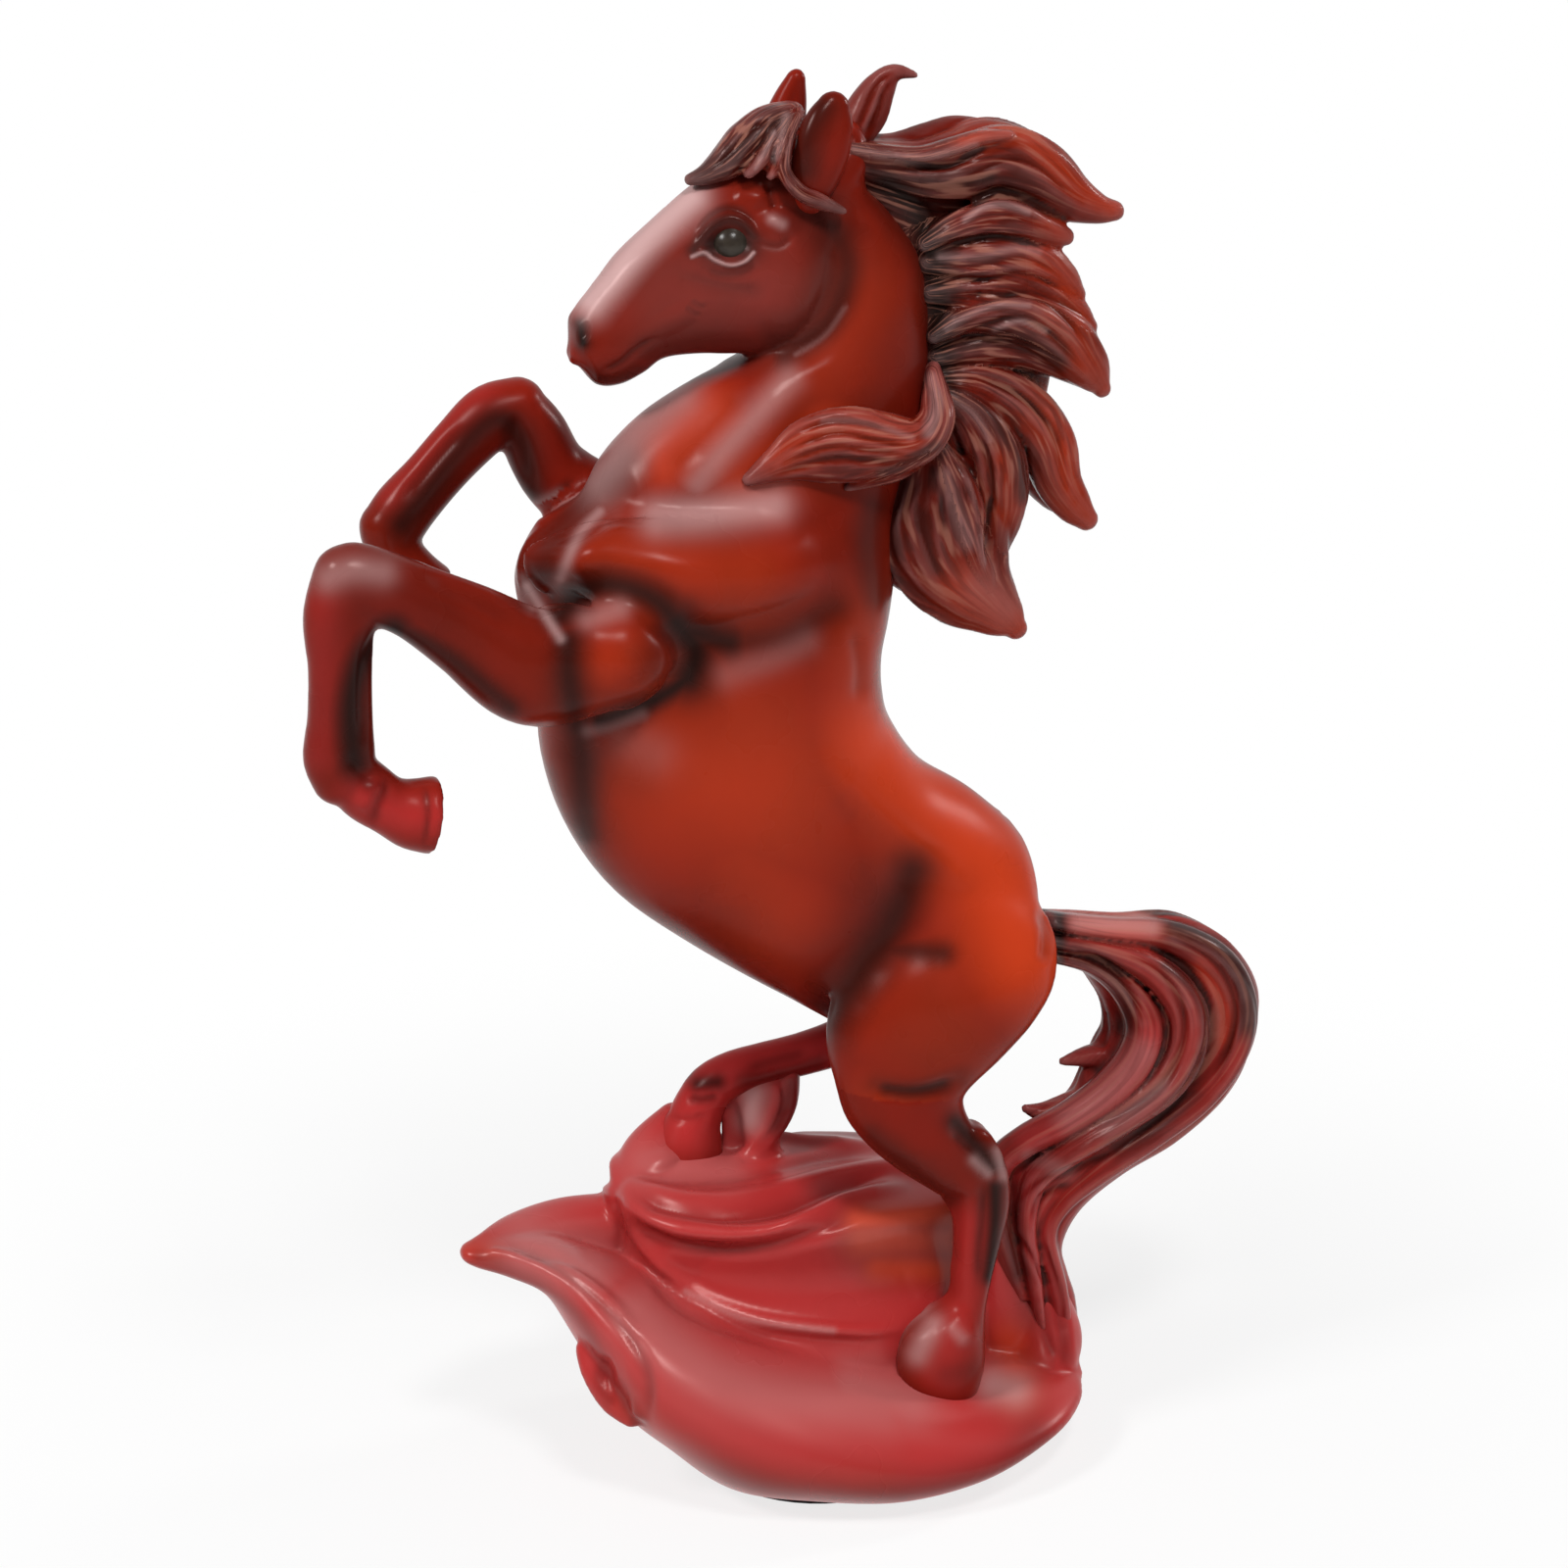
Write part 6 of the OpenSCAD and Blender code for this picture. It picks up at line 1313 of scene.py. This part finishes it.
class StatuetteFinish(bpy.types.PropertyGroup):
    """Colours and gloss of the paint"""
    mahogany: bpy.props.FloatVectorProperty(name="Mahogany", description="Main colour of the paint",
                                            default=(0.150, 0.0095, 0.0038), min=0, max=1, subtype="COLOR")
    garnet: bpy.props.FloatVectorProperty(name="Garnet", description="Second tone that clouds the paint",
                                          default=(0.23, 0.0105, 0.0042), min=0, max=1, subtype="COLOR")
    # Warm tone of the paint; on the croup and beside the left hind hoof it also stands in for a painted highlight
    ember: bpy.props.FloatVectorProperty(name="Ember", description="Warm tone on the back and croup",
                                         default=(0.60, 0.050, 0.012), min=0, max=1, subtype="COLOR")
    rose: bpy.props.FloatVectorProperty(name="Rose", description="Cooler red of the plinth and lower legs",
                                        default=(0.46, 0.030, 0.030), min=0, max=1, subtype="COLOR")
    # Black wash in the hollows, also used as painted shade in creases, pockets and on undersides
    wash_and_shade: bpy.props.FloatVectorProperty(name="Wash", description="Black wash in the hollows",
                                        default=(0.010, 0.005, 0.004), min=0, max=1, subtype="COLOR")
    # Pale rubbed paint on the high places, also used as painted highlights
    dust_and_highlight: bpy.props.FloatVectorProperty(name="Dust", description="Pale rubbed paint on the high places",
                                        default=(0.50, 0.31, 0.30), min=0, max=1, subtype="COLOR")
    sheen: bpy.props.FloatVectorProperty(name="Sheen", description="Tint of the lacquer's reflections",
                                         default=(1.0, 0.74, 0.70), min=0, max=1, subtype="COLOR")
    combed: bpy.props.FloatVectorProperty(name="Combed", description="Tone of the fine hairs",
                                          default=(0.42, 0.17, 0.12), min=0, max=1, subtype="COLOR")
    roughness: bpy.props.FloatProperty(name="Roughness", description="Roughness of the lacquer",
                                       default=0.27, min=0.05, max=1, subtype="FACTOR")
    gloss: bpy.props.FloatProperty(name="Gloss", description="Strength of the lacquer's reflections",
                                   default=0.11, min=0, max=1, subtype="FACTOR")
    hairs: bpy.props.FloatProperty(name="Hairs", description="Strength of the fine hairs' paint",
                                   default=0.4, min=0, max=1, subtype="FACTOR")
    satin_roughness: bpy.props.FloatProperty(name="Satin roughness", description="Roughness of the plinth's lacquer",
                                             default=0.3, min=0.05, max=1, subtype="FACTOR")
    satin_gloss: bpy.props.FloatProperty(name="Satin gloss", description="Strength of the plinth's reflections",
                                         default=0.3, min=0, max=1, subtype="FACTOR")


class StatuetteStudio(bpy.types.PropertyGroup):
    """Light of the studio"""
    key: bpy.props.FloatProperty(name="Key light", description="Power of the lamp on the left",
                                 default=7.0, min=0, unit="POWER")
    fill: bpy.props.FloatProperty(name="Fill light", description="Power of the lamp in front",
                                  default=1.0, min=0, unit="POWER")
    top: bpy.props.FloatProperty(name="Top light", description="Power of the lamp above",
                                 default=6.2, min=0, unit="POWER")
    rim: bpy.props.FloatProperty(name="Rim light", description="Power of the lamp behind on the right",
                                 default=3.0, min=0, unit="POWER")
    around: bpy.props.FloatProperty(name="Light all round", description="Strength of the light from all round",
                                    default=0.13, min=0)
    floor_reach: bpy.props.FloatProperty(name="Floor reach", description="Where the floor has run out into white",
                                         default=0.30, min=0.1, unit="LENGTH")


class STATUETTE_OT_horse(bpy.types.Operator):
    """Carve and paint the horse's trunk, head, legs, eyes and ears"""
    bl_idname = "statuette.horse"
    bl_label = "Carve horse"

    def execute(self, context):
        sizes = context.scene.statuette_sizes
        whole = fused(joined(horse_forms(), "horse_forms"), sizes.grain)
        finer_head(whole.data)
        carving = Carving(whole.data)
        carve_horse(carving, casting_of(carving.place))
        carving.write()
        place, way = carving.at(*EYE_PIXEL)
        carving.store()
        for piece, node in zip(split_castings(whole.data), CASTINGS):
            finished(piece, node, lacquer())
            unbroken_shading(piece.data)
        bpy.data.objects.remove(whole)
        balls = []
        for side in (1, -1):
            ball = bmesh.new()
            bmesh.ops.create_uvsphere(ball, u_segments=EYE_SIDES, v_segments=EYE_RINGS, radius=sizes.eye)
            middle = (place + way * (sizes.eye_bulge - sizes.eye)) * np.array([1, side, 1])
            bmesh.ops.translate(ball, verts=ball.verts, vec=Vector(middle))
            balls.append(ball)
        finished(joined(balls, "eyes"), None, eye_material(context.scene.statuette_finish))
        ears = [loft(domed(limb(rows, LIMB_RINGS)), FINE_SIDES, ear_hollow) for rows in (NEAR_EAR, FAR_EAR)]
        ears = joined(ears, "ears")
        carving = Carving(ears.data)
        carving.soften(times=4)
        carving.brush(EAR_PAINT, plane=None)
        carving.store()
        finished(ears, None, lacquer())
        return {"FINISHED"}


class STATUETTE_OT_mane(bpy.types.Operator):
    """Make the mane and the forelock out of grooved locks"""
    bl_idname = "statuette.mane"
    bl_label = "Make mane"

    def execute(self, context):
        sizes = context.scene.statuette_sizes
        depth, count = sizes.hair_depth, sizes.hair_strands
        parts = [loft(domed(limb(MANE_ROOT, LIMB_RINGS)), FINE_SIDES),
                 loft(domed(belt(MANE_CORE, CORE_RINGS)), FINE_SIDES)]
        for k, rows in enumerate(MANE_RIBBONS):
            sections = limb(ribbon(rows), HAIR_RINGS)
            groove = strands(count, MANE_TWIST * (-1) ** k, depth, MANE_SEED * k)
            parts.append(loft(domed(sections), MANE_SIDES, groove))
            if k < MANE_FAR:
                parts.append(loft(domed(mirrored(sections)), MANE_SIDES, groove))
        mane = carved_hair(parts, MANE_RIBBONS, "mane_locks", MANE_STROKES, MANE_PAINT, 0.0, (WASH_AND_SHADE, 0.3))
        finished(mane, "mane_casting", lacquer("hair_lacquer"))
        parts = [loft(domed(limb(rows, HAIR_RINGS)), FACE_HAIR_SIDES, strands(count, MANE_TWIST, depth, FACE_SEED * k))
                 for k, rows in enumerate([TUFT] + [ribbon(r) for r in FACE_RIBBONS])]
        hair = carved_hair(parts, FACE_RIBBONS, "forelock_and_neck_lock", FACE_HAIR_STROKES, FACE_HAIR_PAINT, None,
                           (WASH_AND_SHADE, 0.15))
        finished(hair, None, lacquer("hair_lacquer"))
        return {"FINISHED"}


class STATUETTE_OT_tail(bpy.types.Operator):
    """Make the grooved tail with its free wisps"""
    bl_idname = "statuette.tail"
    bl_label = "Make tail"

    def execute(self, context):
        sizes = context.scene.statuette_sizes
        depth, count = sizes.hair_depth, sizes.tail_strands
        parts = [loft(domed(belt(TAIL, TAIL_RINGS)), TAIL_SIDES, strands(count, TAIL_TWIST, 0.6 * depth, 0.2))]
        for k, rows in enumerate(TAIL_RIBBONS):
            groove = strands(count // 2, TAIL_TWIST * (-1) ** k, depth, TAIL_SEED * k)
            parts.append(loft(domed(limb(ribbon(rows), TAIL_LOCK_RINGS)), TAIL_LOCK_SIDES, groove))
            far = []
            for px, py, y, half, thick in rows[:-1]:
                sunk = min(max((py - FAR_SINK) / FAR_SINK_ROWS, 0), 1)
                far.append((px, py, FAR_MIRROR - y + (FAR_CORE - FAR_MIRROR + y) * sunk, half, thick))
            parts.append(loft(domed(limb(ribbon(far), HAIR_RINGS)), FAR_LOCK_SIDES, groove))
        for k, rows in enumerate(TAIL_WISPS):
            groove = strands(WISP_STRANDS, MANE_TWIST, depth, TAIL_SEED * k)
            parts.append(loft(domed(limb(rows, LIMB_RINGS)), WISP_SIDES, groove))
        tail = carved_hair(parts, TAIL_RIBBONS, "tail_locks", TAIL_STROKES, TAIL_PAINT, TAIL_PLANE, (ROSE, 0.35),
                           fine=3.0, share=0.6)
        finished(tail, "tail_casting", lacquer("hair_lacquer"))
        return {"FINISHED"}


class STATUETTE_OT_plinth(bpy.types.Operator):
    """Carve the wave-shaped plinth"""
    bl_idname = "statuette.plinth"
    bl_label = "Carve plinth"

    def execute(self, context):
        rings = spline(STEP_RINGS, np.linspace(0, 1, LIMB_RINGS)) * MM
        zero = np.zeros(len(rings))
        middle = np.stack([zero + STEP_MIDDLE[0] * MM, zero + STEP_MIDDLE[1] * MM, rings[:, 2] + GROUND], 1)
        across = np.stack([rings[:, 0], zero, STEP_LEAN * rings[:, 0]], 1)
        along = np.stack([zero, rings[:, 1], zero], 1)
        parts = [loft(domed(belt(PLINTH_GROUND, GROUND_RINGS)), PLINTH_SIDES),
                 loft((middle, across, along), PLINTH_SIDES)]
        parts += limbs((LEAF_BACK, SCROLL_RIM, SCROLL_HEART, STEP_BULGE, WAVE_CREST, TAIL_SKIRT,
                        *map(ribbon, CREST_RIBBONS)))
        plinth = fused(joined(parts, "plinth"), context.scene.statuette_sizes.grain)
        felt_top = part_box("base_felt")[1][2]
        bm = bmesh.new()
        bm.from_mesh(plinth.data)
        bmesh.ops.bisect_plane(bm, geom=[*bm.verts, *bm.edges, *bm.faces], dist=1e-6, plane_co=(0, 0, felt_top),
                               plane_no=(0, 0, -1), clear_outer=True)
        capped(bm)
        bm.to_mesh(plinth.data)
        bm.free()
        carving = Carving(plinth.data)
        free = np.clip((carving.place[:, 2] - felt_top) / FOOT_FADE, 0, 1)
        carving.soften(times=30, share=0.55 * free, back=1.02)
        for k, stroke in enumerate(PLINTH_STROKES):
            carving.cut([stroke], plane=STEP_MIDDLE[1] if k in STEP_STROKES else None, taper=PLINTH_TAPER)
        carving.swell(PLINTH_LUMPS, plane=None)
        carving.write()
        carving.soften(times=4, share=0.45 * free)
        carving.raise_paint(ROSE, 0.9)
        # Painted shade in the plinth's hollows, and pale paint on its ridges that also stands for painted highlights
        carving.hollow_wash_and_shade(strength=0.8, limit=0.5, ridge_dust_and_highlight=0.15)
        carving.brush(PLINTH_PAINT, plane=None)
        carving.paint[:, ROSE] *= 1 - carving.paint[:, EMBER]
        carving.store()
        finished(plinth, "base_casting", lacquer("rose_lacquer"))
        return {"FINISHED"}


class STATUETTE_OT_fittings(bpy.types.Operator):
    """Give the pins, the ballast, the cover and the felt their finishes"""
    bl_idname = "statuette.fittings"
    bl_label = "Finish fittings"

    def execute(self, context):
        finishes = {slot: plain_material(*values) for slot, values in FITTINGS.items()}
        for entry in frame["record"]["subparts"]:
            if entry["material_slot"] in finishes:
                node = frame["nodes"][entry["node"]]
                node.data.materials.clear()
                node.data.materials.append(finishes[entry["material_slot"]])
        return {"FINISHED"}


class STATUETTE_OT_stage(bpy.types.Operator):
    """Set the floor, the lamps and the photograph's camera"""
    bl_idname = "statuette.stage"
    bl_label = "Set stage"

    def execute(self, context):
        scene = context.scene
        studio = scene.statuette_studio
        scene.view_settings.view_transform = "Standard"
        bm = bmesh.new()
        bmesh.ops.create_grid(bm, x_segments=2, y_segments=2, size=FLOOR_HALF)
        floor = joined([bm], "studio_floor")
        floor.data.materials.append(floor_material(studio.floor_reach))
        world = bpy.data.worlds.new("studio_world")
        world.use_nodes = True
        backdrop_nodes(world.node_tree, studio.around)
        scene.world = world
        for name, power, size, place in LAMPS:
            lamp = bpy.data.lights.new(name, "AREA")
            lamp.energy = getattr(studio, power)
            lamp.size = size
            holder = bpy.data.objects.new(name, lamp)
            holder.visible_glossy = name != "fill_lamp"
            holder.location = place
            holder.rotation_euler = (Vector(PHOTO_AIM) - Vector(place)).to_track_quat("-Z", "Y").to_euler()
            scene.collection.objects.link(holder)
        eye, _, _, back = photo_axes()
        lens = bpy.data.cameras.new("photo_camera")
        lens.sensor_width = SENSOR
        lens.lens = PHOTO_FOCAL / PHOTO_SIZE * SENSOR
        camera = bpy.data.objects.new("photo_camera", lens)
        camera.location = eye
        camera.rotation_euler = Vector(back).to_track_quat("Z", "Y").to_euler()
        scene.collection.objects.link(camera)
        scene.camera = camera
        return {"FINISHED"}


class STATUETTE_PT_panel(bpy.types.Panel):
    """Lists the statuette's steps"""
    bl_idname = "STATUETTE_PT_panel"
    bl_label = "Statuette"
    bl_space_type = "VIEW_3D"
    bl_region_type = "UI"
    bl_category = "Statuette"

    def draw(self, context):
        for step in STEPS:
            self.layout.operator(step.bl_idname)
        for group in (context.scene.statuette_sizes, context.scene.statuette_finish, context.scene.statuette_studio):
            for name in group.__annotations__:
                self.layout.prop(group, name)


GROUPS = {"statuette_sizes": StatuetteSizes, "statuette_finish": StatuetteFinish, "statuette_studio": StatuetteStudio}
STEPS = [STATUETTE_OT_horse, STATUETTE_OT_mane, STATUETTE_OT_tail, STATUETTE_OT_plinth, STATUETTE_OT_fittings,
         STATUETTE_OT_stage]


def register():
    for cls in (*GROUPS.values(), *STEPS, STATUETTE_PT_panel):
        bpy.utils.register_class(cls)
    for name, group in GROUPS.items():
        setattr(bpy.types.Scene, name, bpy.props.PointerProperty(type=group))


def unregister():
    for name in GROUPS:
        delattr(bpy.types.Scene, name)
    for cls in reversed((*GROUPS.values(), *STEPS, STATUETTE_PT_panel)):
        bpy.utils.unregister_class(cls)


def main():
    register()
    for step in STEPS:
        group, name = step.bl_idname.split(".")
        getattr(getattr(bpy.ops, group), name)()


if __name__ == "__main__":
    main()
